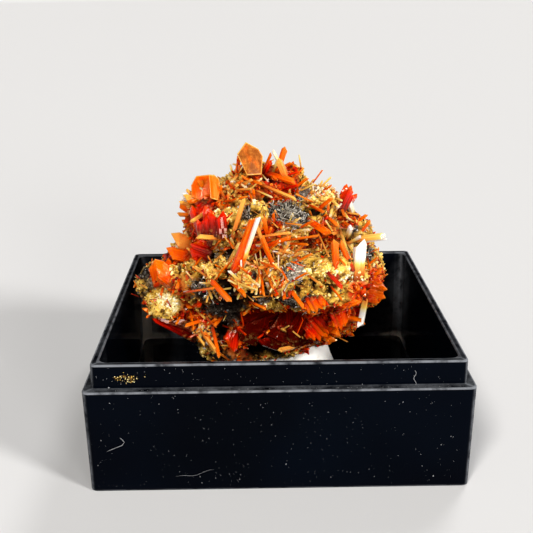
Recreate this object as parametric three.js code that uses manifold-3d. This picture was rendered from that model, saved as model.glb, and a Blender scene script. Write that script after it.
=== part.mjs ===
// Crocoite on matrix: a thumbnail mineral specimen held by putty in the black base of a display box.
// Millimetres, +Z up. The origin is the centre of the box's underside, and -Y is the specimen's best face.
import * as THREE from "three";
import { mergeVertices } from "three/addons/utils/BufferGeometryUtils.js";
import Module from "manifold-3d";

const wasm = await Module();
wasm.setup();

// ---------------------------------------------------------------- driving dimensions
const BOX_WIDTH = 32.0; // outer square of the lower tier, a 1 1/4 inch thumbnail box
const TIER_HEIGHT = 9.1; // underside to the ledge that the lid sits on
const COLLAR_HEIGHT = 2.1; // ledge to the rim
const LEDGE_WIDTH = 0.7;
const COLLAR_WALL = 0.6;
const FLOOR_THICKNESS = 1.2;
const DRAFT = 0.2; // how much each side of the lower tier leans in at its foot
const CORNER_RADIUS = 0.6;
const EDGE_BREAK = 0.12; // small bevel on every moulded edge
const CORNER_STEPS = 4;

const RIM_HEIGHT = TIER_HEIGHT + COLLAR_HEIGHT;

// ---------------------------------------------------------------- small tools
const vec = (x, y, z) => new THREE.Vector3(x, y, z);

/** A closed three.js geometry as a manifold solid. */
function solidOf(geometry) {
  const bare = geometry.clone();
  bare.deleteAttribute("normal");
  bare.deleteAttribute("uv");
  const merged = mergeVertices(bare, 1e-5);
  return new wasm.Manifold(
    new wasm.Mesh({
      numProp: 3,
      vertProperties: merged.attributes.position.array,
      triVerts: new Uint32Array(merged.index.array),
    }),
  );
}

/** A manifold solid as a flat-shaded three.js geometry. */
function geometryOf(solid) {
  const mesh = solid.getMesh();
  const geometry = new THREE.BufferGeometry()
    .setAttribute(
      "position",
      new THREE.BufferAttribute(new Float32Array(mesh.vertProperties), 3),
    )
    .setIndex(new THREE.BufferAttribute(mesh.triVerts, 1));
  geometry.computeVertexNormals();
  return geometry;
}

/** A repeatable number from 0 to 1 for three whole numbers. */
function hash(i, j, k) {
  let h = (i * 374761393 + j * 668265263 + k * 2147483647) | 0;
  h = Math.imul(h ^ (h >>> 13), 1274126177);
  return ((h ^ (h >>> 16)) >>> 0) / 4294967295;
}

/** Value noise, from -1 to 1, that changes over about one unit. */
function noise(x, y, z) {
  const [i, j, k] = [Math.floor(x), Math.floor(y), Math.floor(z)];
  const ease = (t) => t * t * (3 - 2 * t);
  const [u, v, w] = [ease(x - i), ease(y - j), ease(z - k)];
  let sum = 0;
  for (const [a, wa] of [[0, 1 - u], [1, u]])
    for (const [b, wb] of [[0, 1 - v], [1, v]])
      for (const [c, wc] of [[0, 1 - w], [1, w]])
        sum += wa * wb * wc * hash(i + a, j + b, k + c);
  return 2 * sum - 1;
}

// ---------------------------------------------------------------- display-box base
/** The corners of a rounded square of that half width at height z. */
function squareRing(half, radius, z) {
  const ring = [];
  for (let corner = 0; corner < 4; corner++) {
    const [cx, cy] = [
      (half - radius) * (corner === 0 || corner === 3 ? 1 : -1),
      (half - radius) * (corner < 2 ? 1 : -1),
    ];
    for (let step = 0; step <= CORNER_STEPS; step++) {
      const angle = ((corner + step / CORNER_STEPS) * Math.PI) / 2;
      ring.push(vec(cx + radius * Math.cos(angle), cy + radius * Math.sin(angle), z));
    }
  }
  return ring;
}

/** A closed skin through rings with the same number of points, closed by a flat fan at both ends. */
function ringSkin(rings) {
  const count = rings[0].length;
  const points = rings.flat();
  const faces = [];
  const centre = (ring) =>
    ring.reduce((sum, p) => sum.add(p), vec(0, 0, 0)).divideScalar(ring.length);
  for (let r = 0; r + 1 < rings.length; r++)
    for (let i = 0; i < count; i++) {
      const [a, b] = [r * count + i, r * count + ((i + 1) % count)];
      faces.push([a, b, b + count], [a, b + count, a + count]);
    }
  const [first, last] = [points.length, points.length + 1];
  points.push(centre(rings[0]), centre(rings.at(-1)));
  const top = (rings.length - 1) * count;
  for (let i = 0; i < count; i++) {
    faces.push([first, (i + 1) % count, i]);
    faces.push([last, top + i, top + ((i + 1) % count)]);
  }
  const geometry = new THREE.BufferGeometry().setFromPoints(points);
  geometry.setIndex(faces.flat());
  return geometry;
}

/** The moulded tray: a drafted lower tier, the ledge, and the thin collar that a lid slips over. */
function boxBase() {
  const half = BOX_WIDTH / 2;
  const collar = half - LEDGE_WIDTH;
  const inner = collar - COLLAR_WALL;
  const e = EDGE_BREAK;
  const profile = [
    [half - DRAFT - e, 0],
    [half - DRAFT, e],
    [half, TIER_HEIGHT - e],
    [half - e, TIER_HEIGHT],
    [collar, TIER_HEIGHT],
    [collar, RIM_HEIGHT - e],
    [collar - e, RIM_HEIGHT],
    [inner + e, RIM_HEIGHT],
    [inner, RIM_HEIGHT - e],
    [inner, FLOOR_THICKNESS + e],
    [inner - e, FLOOR_THICKNESS],
  ];
  const rings = profile.map(([width, z]) =>
    squareRing(width, CORNER_RADIUS - (half - width) / 4, z),
  );
  return ringSkin(rings);
}

// ---------------------------------------------------------------- rock skins
const ROUGHNESS = 0.035; // how far a skin strays from its lumps, as a share of its reach
const COARSE = 0.6; // knobs per millimetre of the coarse roughening
const FINE = 1.4; // and of the fine one

/** Where a ray from inside a rock meets an ellipsoid: [near, far], or null where it misses. */
function crossing(heart, direction, [x, y, z, rx, ry, rz]) {
  const d = vec(direction.x / rx, direction.y / ry, direction.z / rz);
  const o = vec((heart.x - x) / rx, (heart.y - y) / ry, (heart.z - z) / rz);
  const [a, b, c] = [d.dot(d), d.dot(o), o.dot(o) - 1];
  const root = b * b - a * c;
  if (root < 0) return null;
  return [(-b - Math.sqrt(root)) / a, (-b + Math.sqrt(root)) / a];
}

/** A rock as one faceted ball, each corner pushed out to the furthest lump that its ray meets. */
function rockSkin({ heart, detail, lumps, hollows = [], swell = 0 }) {
  const geometry = new THREE.IcosahedronGeometry(1, detail);
  const place = geometry.attributes.position;
  const p = new THREE.Vector3();
  for (let i = 0; i < place.count; i++) {
    p.fromBufferAttribute(place, i).normalize();
    const hits = (list) => list.map((lump) => crossing(heart, p, lump)).filter(Boolean);
    let reach = Math.max(...hits(lumps).map((hit) => hit[1]));
    for (const [near, far] of hits(hollows)) {
      if (far > reach && near > 0) reach = Math.min(reach, near);
    }
    const q = p.clone().multiplyScalar(reach).add(heart);
    const coarse = noise(q.x * COARSE, q.y * COARSE, q.z * COARSE);
    const fine = noise(q.x * FINE + 9, q.y * FINE, q.z * FINE);
    p.multiplyScalar(reach * (1 + ROUGHNESS * (coarse + 0.8 * fine)) + swell).add(heart);
    place.setXYZ(i, p.x, p.y, p.z);
  }
  return geometry;
}

// ---------------------------------------------------------------- matrix
// Each lump of the gossan is [x, y, z, x radius, y radius, z radius].
const LUMPS = [
  // the core, from the foot to the crown
  [-0.6, 0.5, 9.0, 6.6, 5.2, 3.9],
  [-1.0, 0.2, 13.6, 9.6, 7.2, 4.1],
  [-1.6, 0.9, 18.0, 6.6, 5.6, 4.6],
  [-1.0, 1.0, 21.4, 4.3, 3.3, 2.5],
  // the shoulders
  [6.2, 0.4, 16.4, 3.2, 3.6, 3.0],
  [4.9, 0.8, 19.6, 2.3, 2.2, 2.0],
  [7.9, -0.6, 13.2, 2.3, 3.0, 2.4],
  [-8.2, 0.2, 14.6, 2.4, 2.6, 2.4],
  [-6.4, -0.6, 9.6, 2.9, 3.2, 2.4],
  [5.3, -1.4, 10.2, 2.8, 3.2, 2.5],
  [-3.8, -1.0, 7.4, 3.0, 3.2, 2.6],
  // the ledge across the front
  [-8.0, -3.8, 14.2, 2.0, 1.9, 1.9],
  [-5.5, -5.4, 15.2, 2.2, 1.9, 1.7],
  [-2.9, -6.4, 15.2, 2.1, 1.9, 1.8],
  [-0.3, -6.4, 14.9, 1.8, 1.7, 1.7],
  [2.2, -6.6, 16.0, 1.9, 1.6, 1.5],
  [4.7, -6.0, 16.4, 2.0, 1.7, 1.5],
  [7.0, -4.8, 15.0, 1.9, 2.0, 1.8],
  [2.9, -6.6, 13.8, 2.1, 1.7, 1.4],
  [5.8, -5.3, 13.2, 1.9, 1.7, 1.5],
  [-4.5, -5.8, 13.5, 1.9, 1.6, 1.4],
  // above the ledge
  [-4.4, -4.0, 19.6, 2.0, 1.6, 1.6],
  [-1.6, -4.2, 20.6, 1.6, 1.4, 1.3],
  [1.0, -3.6, 20.2, 1.6, 1.4, 1.5],
  [3.2, -3.2, 19.2, 1.8, 1.5, 1.5],
  [4.4, -1.2, 20.7, 1.6, 1.7, 1.4],
  [-4.9, -1.4, 20.6, 1.6, 1.5, 1.4],
  [6.7, -3.2, 18.0, 1.7, 1.6, 1.4],
  [-2.3, -0.6, 23.1, 1.4, 1.4, 1.2],
  [1.6, 0.0, 22.8, 1.5, 1.4, 1.2],
  // the back
  [-7.0, 4.4, 13.2, 2.6, 2.2, 2.2],
  [-3.6, 6.6, 12.4, 2.7, 1.9, 2.0],
  [1.2, 7.0, 13.4, 2.9, 2.0, 2.2],
  [5.6, 5.4, 12.8, 2.5, 2.2, 2.0],
  [-5.0, 5.2, 17.0, 2.4, 1.9, 2.1],
  [-0.6, 6.2, 17.6, 2.4, 1.7, 1.9],
  [3.9, 5.0, 17.2, 2.3, 2.0, 2.0],
  [-2.6, 4.4, 20.8, 1.9, 1.5, 1.6],
  [1.6, 4.2, 20.9, 1.8, 1.4, 1.5],
  [-3.2, 4.2, 8.8, 2.3, 1.9, 1.8],
  [2.6, 4.6, 8.9, 2.4, 1.8, 1.9],
];
// Hollows cut back into the rock: the long undercut below the front ledge, and three pits.
const HOLLOWS = [
  [-1.2, -7.0, 10.6, 6.4, 3.0, 2.1],
  [-1.0, -6.7, 18.4, 1.7, 1.6, 1.0],
  [5.4, -4.8, 20.2, 1.2, 1.3, 1.1],
  [-7.7, -3.3, 17.6, 1.6, 1.7, 1.3],
];
const ROCK = { heart: vec(-0.8, 0.4, 14.0), detail: 9, lumps: LUMPS, hollows: HOLLOWS };
// Knobs that stand out too far for the main skin.
const LEFT_KNOB = {
  heart: vec(-10.6, -1.4, 13.2),
  detail: 2,
  lumps: [
    [-11.2, -1.0, 13.2, 1.9, 2.0, 1.8],
    [-10.0, -2.4, 11.6, 2.1, 2.0, 1.5],
    [-9.2, -1.2, 13.2, 2.2, 2.0, 2.0],
  ],
};
const RIGHT_KNOB = {
  heart: vec(8.6, -0.4, 13.0),
  detail: 1,
  lumps: [
    [9.0, -0.2, 13.8, 1.4, 1.7, 1.5],
    [8.6, -1.4, 12.0, 1.4, 1.7, 1.3],
    [8.6, 0.6, 15.4, 1.4, 1.7, 1.4],
  ],
};

/** The gossan with its two knobs, every face moved out by the swell. */
function matrixRock(swell = 0) {
  return [ROCK, LEFT_KNOB, RIGHT_KNOB]
    .map((shape) => solidOf(rockSkin({ ...shape, swell })))
    .reduce((whole, knob) => whole.add(knob));
}

// ---------------------------------------------------------------- crystals
const GAP = 0.05; // left between a crystal and the rock, and under the putty
const SINK = 0.6; // how far a crystal's axis runs on below the rock's skin
const SPRAY_SINK = 0.25; // how deep the shared foot of a spray lies
const STOUT = 0.75; // from this width up, a prism shows four wide and four narrow faces
const CORNER_CUT = 0.24; // a narrow face, as a share of the smaller half width
const OVERLAP = 1e-5; // cubic millimetres that two crystals share before they count as grown together

/** The cross-section of a prism: a lozenge, or a box with its corners cut where it is stout. */
function section(width, flat) {
  const [a, b] = [width / 2, (width * flat) / 2];
  if (width < STOUT) return [[a, -0.2 * b], [0.2 * a, b], [-a, 0.2 * b], [-0.2 * a, -b]];
  const cut = CORNER_CUT * b;
  return [
    [a, -b + cut],
    [a, b - cut],
    [a - cut, b],
    [-a + cut, b],
    [-a, b - cut],
    [-a, -b + cut],
    [-a + cut, -b],
    [a - cut, -b],
  ];
}

/**
 * A prism of crocoite from root to tip, ending in an oblique point.
 * flat is its depth over its width; turn is how far it is turned about its own axis, in degrees,
 * and an odd turn slopes its end the other way.
 */
function crystal({ root, tip, width, flat = 0.8, turn = 20 }) {
  const axis = tip.clone().sub(root);
  const length = axis.length();
  axis.normalize();
  const across = vec(0, -1, 0).cross(axis).normalize();
  across.applyAxisAngle(axis, THREE.MathUtils.degToRad(turn));
  const deep = axis.clone().cross(across);
  const outline = section(width, flat);
  const chisel = Math.min(0.45 * width, 0.3 * length);
  const lean = turn % 2 ? 0.5 : -0.5;
  const slope = outline.map(([x, y]) => x * lean + y * 0.4);
  const highest = Math.max(...slope);
  const ring = (along, scale, shear) =>
    outline.map(([x, y], i) =>
      root
        .clone()
        .addScaledVector(across, x * scale)
        .addScaledVector(deep, y * scale)
        .addScaledVector(axis, along + shear * (slope[i] - highest)),
    );
  return ringSkin([ring(0, 0.92, 0), ring(length - chisel, 1, 0.5), ring(length, 0.62, 1.2)]);
}

// The front crystals are placed as a viewer before the best face sees them. A sight is [across, up] in
// millimetres on a plane square to the line of sight, SIGHT_DISTANCE in front of the eye.
const EYE = vec(-1.84, -82.61, 41.03);
const SIGHT_DISTANCE = 91.1;
const SIGHT_TILT = THREE.MathUtils.degToRad(17.84); // the line of sight looks down by this much
const SIGHT_YAW = THREE.MathUtils.degToRad(0.73); // and a little to the right
const SIGHT_ROLL = THREE.MathUtils.degToRad(0.5);

const forward = vec(
  Math.sin(SIGHT_YAW) * Math.cos(SIGHT_TILT),
  Math.cos(SIGHT_YAW) * Math.cos(SIGHT_TILT),
  -Math.sin(SIGHT_TILT),
);
const rightward = vec(Math.cos(SIGHT_YAW), -Math.sin(SIGHT_YAW), 0).applyAxisAngle(forward, SIGHT_ROLL);
const upward = rightward.clone().cross(forward);

/** The direction in which the eye sees a sight. */
const sightLine = (across, up) =>
  forward
    .clone()
    .multiplyScalar(SIGHT_DISTANCE)
    .addScaledVector(rightward, across)
    .addScaledVector(upward, up)
    .normalize();

const rock = matrixRock();
const rockMesh = new THREE.Mesh(geometryOf(rock), new THREE.MeshBasicMaterial({ side: THREE.DoubleSide }));

/** The first point of the rock along a ray, or null. */
function meet(origin, direction) {
  const hit = new THREE.Raycaster(origin, direction).intersectObject(rockMesh)[0];
  return hit ? hit.point : null;
}

/** A crystal from the rock behind one sight to a point before another, its tip lifted towards the eye. */
function sightedCrystal([fromAcross, fromUp, toAcross, toUp, width, lift, flat, turn], index) {
  const tipLine = sightLine(toAcross, toUp);
  const foot = meet(EYE, sightLine(fromAcross, fromUp));
  const under = meet(EYE, tipLine);
  const reach = Math.min(foot.distanceTo(EYE), under ? under.distanceTo(EYE) : Infinity) - lift;
  const tip = EYE.clone().addScaledVector(tipLine, reach);
  const root = foot.clone().addScaledVector(tip.clone().sub(foot).normalize(), -SINK);
  return { root, tip, width, flat, turn: turn ?? 17 + 29 * index };
}

// Each front crystal is [from across, from up, to across, to up, width, lift, flat, turn].
const FRONT = {
  crown: [
    [-1.1, 8.6, -2.1, 12.5, 2.1, 0.2, 0.5, 11],
    [-3.0, 9.2, -2.7, 11.2, 0.45, 0.3],
    [1.1, 9.5, 1.9, 12.0, 0.6, 0.2, 0.9, 31],
    [2.0, 8.8, 1.1, 10.9, 0.85, 0.8],
    [1.6, 9.6, 0.6, 11.7, 0.4, 0.4],
    [0.4, 9.2, 3.0, 8.4, 0.65, 1.2],
  ],
  upper_left: [
    [-5.2, 7.3, -6.9, 9.2, 1.4, 0.6, 0.8, 35],
    [-5.2, 7.4, -5.5, 9.4, 0.5, 0.5],
    [-6.3, 6.5, -8.7, 7.2, 1.1, 0.5, 0.7, 12],
    [-5.6, 7.0, -7.9, 6.4, 0.6, 0.9],
    [-5.2, 2.8, -5.8, 6.2, 1.4, 0.9, 0.5, 15],
    [-6.2, 3.0, -7.3, 6.2, 1.2, 0.5, 0.6, 41],
    [-5.1, 6.1, -7.6, 4.4, 0.45, 1.6],
    [-4.5, 2.8, -7.0, 3.0, 0.5, 1.5],
  ],
  left_step: [
    [-7.9, 2.2, -9.8, 2.8, 1.6, 0.6, 0.8, 30],
    [-8.2, 1.0, -10.2, 1.5, 1.2, 0.6, 0.8, 24],
    [-9.7, -1.2, -11.6, 0.3, 1.7, 0.5, 0.8, 40],
    [-7.7, 0.8, -9.6, -1.6, 0.7, 0.8],
    [-8.7, 0.8, -10.4, -1.3, 0.6, 0.7],
  ],
  foot: [
    [-7.4, -6.1, -11.4, -4.6, 1.0, 0.2, 0.4, 18],
    [-6.5, -6.4, -5.0, -8.6, 0.5, 0.7],
    [-5.3, -6.6, -4.7, -9.2, 0.5, 0.6],
    [-3.0, -6.4, -3.4, -8.6, 0.9, 0.7, 0.7, 33],
    [-1.6, -7.0, -0.3, -4.6, 2.0, 0.8, 0.4, 12],
    [0.9, -7.0, 0.9, -4.7, 1.8, 0.8, 0.4, 38],
    [3.2, -7.4, 2.6, -4.6, 2.0, 0.9, 0.4, 20],
    [3.6, -7.3, 1.5, -6.1, 0.5, 1.6],
    [3.9, -7.8, 1.2, -8.4, 0.5, 1.0],
  ],
  front_ledge: [
    [-6.0, -0.9, -3.5, -3.6, 0.6, 0.7],
    [-3.3, -1.7, -2.0, -3.0, 0.5, 0.8],
    [2.5, -2.5, 3.8, -4.2, 0.6, 0.8],
    [6.0, -0.4, 7.6, -2.2, 0.5, 0.8],
  ],
  lower_right: [
    [10.0, -2.7, 9.3, -6.2, 0.65, 0.4, 0.8, 26],
    [7.4, -4.9, 9.9, -5.6, 0.65, 0.5],
    [7.8, -4.0, 9.4, -3.3, 0.9, 0.5],
    [6.2, -5.6, 7.8, -5.9, 0.8, 0.7],
    [6.0, -6.2, 7.5, -6.8, 0.8, 0.7],
    [5.4, -6.6, 6.8, -7.6, 0.8, 0.7],
  ],
  right: [
    [7.0, -0.6, 6.8, 2.8, 0.7, 1.0, 0.8, 27],
    [8.4, 0.1, 7.3, 2.6, 0.55, 0.9],
    [9.2, -0.7, 9.4, 2.7, 0.9, 0.8, 0.6, 14],
    [9.4, 2.7, 12.0, 3.1, 0.7, 0.4],
    [7.5, 5.8, 8.5, 7.8, 1.0, 0.3, 0.8, 33],
    [4.6, 4.3, 6.4, 3.2, 0.8, 0.9],
  ],
  centre: [
    [-3.2, -0.3, -1.1, 5.1, 0.85, 1.2, 0.8, 24],
    [-3.7, 0.4, -2.5, 2.5, 0.55, 1.1],
    [-3.3, 3.2, -2.2, 6.9, 0.6, 1.2],
    [0.1, 1.1, -1.1, 4.3, 0.5, 1.4],
    [0.8, -0.3, -0.5, 3.1, 0.45, 1.1],
    [0.1, 2.1, 2.5, 3.0, 0.5, 1.5],
    [0.2, 2.7, -0.3, 4.8, 0.5, 1.2],
  ],
};

// Round the sides and back, places are [bearing, height] in degrees as seen from the rock's heart: a
// bearing runs from +X towards +Y, a height up from the horizon.
// Each spray is [bearing, height, length, width, lean]; a lean tilts its crystals off square.
const SPRAYS = {
  back: [
    [64, 14, 2.8, 0.7, 10], [84, 34, 2.4, 0.6, -15], [98, 4, 3.0, 0.8, 12],
    [122, -10, 2.6, 0.7, -12], [138, 16, 2.8, 0.7, 8], [108, 52, 2.4, 0.55, -10],
  ],
  right_side: [
    [24, 16, 2.4, 0.6, -14], [34, 4, 2.6, 0.7, 12], [40, 42, 2.2, 0.55, -10],
  ],
  left_side: [
    [156, 24, 2.4, 0.6, -34], [164, -8, 2.4, 0.6, 14], [168, 36, 2.2, 0.55, -42], [142, 46, 2.0, 0.5, -20],
  ],
};
// Prisms that lie along the rock are [from bearing, from height, to bearing, to height, width, lift].
const LYING = {
  back: [
    [104, 8, 84, 24, 0.9, 1.2], [118, 36, 100, 40, 0.8, 1.0], [128, 0, 142, -12, 0.8, 1.0],
    [72, -4, 56, -14, 0.8, 1.1],
  ],
  right_side: [[24, 30, 38, 22, 0.7, 1.0]],
};

/** The way out from the rock's heart at a bearing and height. */
function outward(bearing, height) {
  const [b, h] = [bearing, height].map(THREE.MathUtils.degToRad);
  return vec(Math.cos(h) * Math.cos(b), Math.cos(h) * Math.sin(b), Math.sin(h));
}

/** The outermost point of the rock at a bearing and height. */
function skinAt(bearing, height) {
  const way = outward(bearing, height);
  return meet(ROCK.heart.clone().addScaledVector(way, 30), way.clone().negate());
}

/** Three crystals that fan out from one foot on the rock. */
function spray([bearing, height, length, width, lean], index) {
  const foot = skinAt(bearing, height);
  const root = foot.clone().addScaledVector(outward(bearing, height), -SPRAY_SINK);
  const rise = index % 2 ? 22 : -18;
  return [[0, 1], [1, 0.72], [-1, 0.6]].map(([side, size]) => {
    const aim = outward(bearing + lean + side * 34, height + lean * 0.6 + side * rise);
    const tip = foot.clone().addScaledVector(aim, length * size);
    return { root: root.clone(), tip, width: width * size, turn: 13 * index + 20 * side };
  });
}

/** A crystal along the rock, its tip lifted off the skin. */
function lyingCrystal([fromBearing, fromHeight, toBearing, toHeight, width, lift], index) {
  const foot = skinAt(fromBearing, fromHeight);
  const tip = skinAt(toBearing, toHeight).addScaledVector(outward(toBearing, toHeight), lift);
  const root = foot.clone().addScaledVector(tip.clone().sub(foot).normalize(), -SINK);
  return { root, tip, width, turn: 20 + 31 * index };
}

// ---------------------------------------------------------------- putty
const PUTTY = {
  heart: vec(1.2, 0.8, 2.2),
  detail: 5,
  lumps: [
    [1.4, 1.2, 1.4, 5.6, 5.2, 4.4],
    [2.6, 0.2, 3.4, 3.3, 3.6, 3.6],
    [-2.4, 0.8, 1.6, 4.2, 4.0, 2.6],
    [1.4, 3.0, 1.4, 4.6, 4.2, 3.4],
  ],
};
const PUTTY_GAP = 0.12;

/** The putty: a soft mound pressed flat on the tray and dented by the specimen. */
function puttyMound(specimen) {
  const slab = new THREE.BoxGeometry(20, 20, 8).translate(0, 0, FLOOR_THICKNESS + GAP - 4);
  return solidOf(rockSkin(PUTTY)).subtract(solidOf(slab)).subtract(specimen);
}

// ---------------------------------------------------------------- growing the crystals
/** The part of a crystal that stands clear of the rock: its largest piece once the rock is cut away. */
function clearOfRock(solid, rockRoom) {
  const pieces = solid.subtract(rockRoom).decompose();
  return pieces.reduce((largest, piece) => (piece.volume() > largest.volume() ? piece : largest));
}

/** Every crystal as { region, solid }. */
function growCrystals() {
  const rockRoom = matrixRock(GAP);
  const grow = (table, make) =>
    Object.entries(table).flatMap(([region, rows]) =>
      rows.flatMap(make).map((spec) => ({
        region,
        solid: clearOfRock(solidOf(crystal(spec)), rockRoom),
      })),
    );
  return [...grow(FRONT, sightedCrystal), ...grow(LYING, lyingCrystal), ...grow(SPRAYS, spray)];
}

/** Crystals that grew into one another are one solid: gathers them, first crystal first. */
function intergrowths(crystals) {
  const groups = [];
  for (const one of crystals) {
    const meets = (other) => one.solid.intersect(other.solid).volume() > OVERLAP;
    const met = groups.filter((group) => group.some(meets));
    for (const group of met) groups.splice(groups.indexOf(group), 1);
    groups.push([...met.flat(), one]);
  }
  return groups.map((group) => ({
    region: group[0].region,
    count: group.length,
    solid: group.map((c) => c.solid).reduce((whole, solid) => whole.add(solid)),
  }));
}

// ---------------------------------------------------------------- the object
const finish = (color, roughness) =>
  new THREE.MeshStandardMaterial({ color, roughness, metalness: 0 });
const STYRENE = finish(0x0a0a0c, 0.12);
const PUTTY_WHITE = finish(0xe8e6e0, 0.6);
const GOSSAN = finish(0x8a6a34, 0.9);
const CROCOITE = {
  crown: finish(0xe8703a, 0.15),
  upper_left: finish(0xc01408, 0.12),
  left_step: finish(0xe8622c, 0.2),
  foot: finish(0x8c0a04, 0.12),
  front_ledge: finish(0xe85a10, 0.15),
  lower_right: finish(0xe83a08, 0.15),
  right: finish(0xf05a10, 0.15),
  centre: finish(0xf07020, 0.15),
  back: finish(0xe04a0c, 0.15),
  right_side: finish(0xe04a0c, 0.15),
  left_side: finish(0xd03408, 0.15),
};

const object = new THREE.Group();

/** Adds one named mesh to the object. */
function addPiece(name, geometry, material) {
  const mesh = new THREE.Mesh(geometry, material);
  mesh.name = name;
  object.add(mesh);
}

addPiece("display_box_base", boxBase(), STYRENE);
addPiece("mounting_putty", geometryOf(puttyMound(matrixRock(PUTTY_GAP))), PUTTY_WHITE);
addPiece("matrix", geometryOf(rock), GOSSAN);

const grownIn = {}; // how many pieces each region has so far
for (const { region, count, solid } of intergrowths(growCrystals())) {
  grownIn[region] = (grownIn[region] ?? 0) + 1;
  const kind = count > 1 ? "cluster" : "crystal";
  addPiece(`${region}_${kind}_${grownIn[region]}`, geometryOf(solid), CROCOITE[region]);
}

export default object;
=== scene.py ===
"""Crocoite on matrix: a thumbnail specimen held by putty in the black base of a display box.

Shapes are worked out in millimetres and written to the meshes in metres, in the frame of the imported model:
+Z up, the origin at the centre of the box's underside, and -Y the specimen's best face.
"""

from __future__ import annotations

import logging
import math
from dataclasses import dataclass, field
from enum import Enum
from typing import Callable, Mapping, Sequence

import bmesh
import bpy
import numpy as np
from mathutils import Matrix, Vector
from mathutils.bvhtree import BVHTree

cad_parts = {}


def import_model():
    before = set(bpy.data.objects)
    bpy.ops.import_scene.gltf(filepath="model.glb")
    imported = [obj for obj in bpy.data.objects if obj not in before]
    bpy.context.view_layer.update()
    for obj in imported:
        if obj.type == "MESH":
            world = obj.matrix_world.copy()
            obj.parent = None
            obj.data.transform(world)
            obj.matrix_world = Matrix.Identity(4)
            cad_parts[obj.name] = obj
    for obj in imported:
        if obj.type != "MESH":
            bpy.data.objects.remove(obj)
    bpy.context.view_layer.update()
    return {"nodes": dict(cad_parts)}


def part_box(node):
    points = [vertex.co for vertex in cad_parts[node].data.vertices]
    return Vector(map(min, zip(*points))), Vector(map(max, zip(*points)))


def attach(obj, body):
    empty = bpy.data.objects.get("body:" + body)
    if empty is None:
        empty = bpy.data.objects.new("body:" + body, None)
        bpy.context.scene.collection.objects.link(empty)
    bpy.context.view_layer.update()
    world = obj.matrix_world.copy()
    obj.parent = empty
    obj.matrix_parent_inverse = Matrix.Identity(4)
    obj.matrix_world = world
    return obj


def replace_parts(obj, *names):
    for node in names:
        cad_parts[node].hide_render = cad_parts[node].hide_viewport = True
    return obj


LOG = logging.getLogger("crocoite")
Array = np.ndarray
Random = np.random.Generator
Pair = tuple[float, float]
Triple = tuple[float, float, float]
Stops = Sequence[tuple[float, Triple]]  # a colour ramp's places, each with its colour
MM = 0.001  # metres in a millimetre
BODY = "root"


# ---------------- arrays and noise
WORD = 0xFFFFFFFF  # the greatest number of 32 bits
CELL_FACTORS = (374761393, 668265263, 1440662683)  # large odd factors that spread neighbours apart
SALT_FACTOR = 974634777
STIR_FACTOR = 1274126177
KNOB_RADIUS = 0.8  # in cells


def unit(vectors: Array) -> Array:
    """Vectors (..., 3) brought to length 1."""
    return vectors / np.maximum(np.linalg.norm(vectors, axis=-1, keepdims=True), 1e-12)


def turned(angle: float) -> Array:
    """A plane's ways right and up, as rows, after a turn by that many radians."""
    return np.array([[math.cos(angle), math.sin(angle)], [-math.sin(angle), math.cos(angle)]])


def circle(sides: int) -> tuple[Array, Array]:
    """How far right and up the corners of a regular polygon of radius 1 lie."""
    angle = np.arange(sides) * 2.0 * math.pi / sides
    return np.cos(angle), np.sin(angle)


def hashed(cells: Array, salt: int) -> Array:
    """A repeatable number from 0 to 1 for each cell of whole numbers (..., 3)."""
    c = cells.astype(np.int64)
    h = (sum(c[..., k] * factor for k, factor in enumerate(CELL_FACTORS)) + salt * SALT_FACTOR) & WORD
    h = ((h ^ (h >> 13)) * STIR_FACTOR) & WORD
    return (h ^ (h >> 16)) / WORD


def value_noise(points: Array, salt: int) -> Array:
    """Smooth noise from -1 to 1 that changes over about one unit.

    Each whole-number corner has a number of its own, and a point gets the mean of the eight round it,
    weighted by the ease curve 3t^2 - 2t^3 along each axis.
    """
    base = np.floor(points)
    t = points - base
    t = t * t * (3.0 - 2.0 * t)
    total = np.zeros(points.shape[:-1])
    for corner in np.ndindex(2, 2, 2):
        weight = np.prod(np.where(np.array(corner) == 1, t, 1.0 - t), axis=-1)
        total += weight * hashed(base + corner, salt)
    return 2.0 * total - 1.0


def fractal(points: Array, octaves: int, salt: int) -> Array:
    """Octaves of value noise, each twice as fine and half as strong as the one before."""
    layers = [value_noise(points * 2.0**k, salt + k) / 2.0**k for k in range(octaves)]
    return sum(layers) / (2.0 - 2.0 ** (1 - octaves))


def knobs(points: Array, salt: int) -> Array:
    """Round knobs from 0 to 1, one in each unit cell.

    The height is sqrt(1 - (d / r)^2), with d the distance to the nearest centre and r a knob's radius.
    """
    base = np.floor(points)
    nearest = np.full(points.shape[:-1], np.inf)
    for step in np.ndindex(3, 3, 3):
        cell = base + step - 1.0
        centre = cell + np.stack([hashed(cell, salt + axis) for axis in range(3)], axis=-1)
        nearest = np.minimum(nearest, np.linalg.norm(points - centre, axis=-1))
    return np.sqrt(np.clip(1.0 - (nearest / KNOB_RADIUS) ** 2, 0.0, 1.0))


# ---------------- meshes
UV_MAP = "along_the_piece"
WELD = 1e-6  # metres within which a CAD node's points are one
RELAX = 0.5  # how far each smoothing moves a point towards its neighbours' mean
LUMP_STRETCH = (0.65, 1.3)  # a lump's half axes, as shares of its size
LUMP_PULL = (0.4, 1.4)  # how far its points are moved in or out


def add(name: str, data: bpy.types.ID) -> bpy.types.Object:
    """A new object of the scene, at the origin."""
    obj = bpy.data.objects.new(name, data)
    bpy.context.scene.collection.objects.link(obj)
    return obj


def read(rows: bpy.types.bpy_prop_collection, key: str, each: int, kind: type = np.float32) -> Array:
    """One property of a mesh's rows, as an array (rows, each)."""
    numbers = np.zeros(len(rows) * each, kind)
    rows.foreach_get(key, numbers)
    return numbers.reshape(-1, each)


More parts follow.
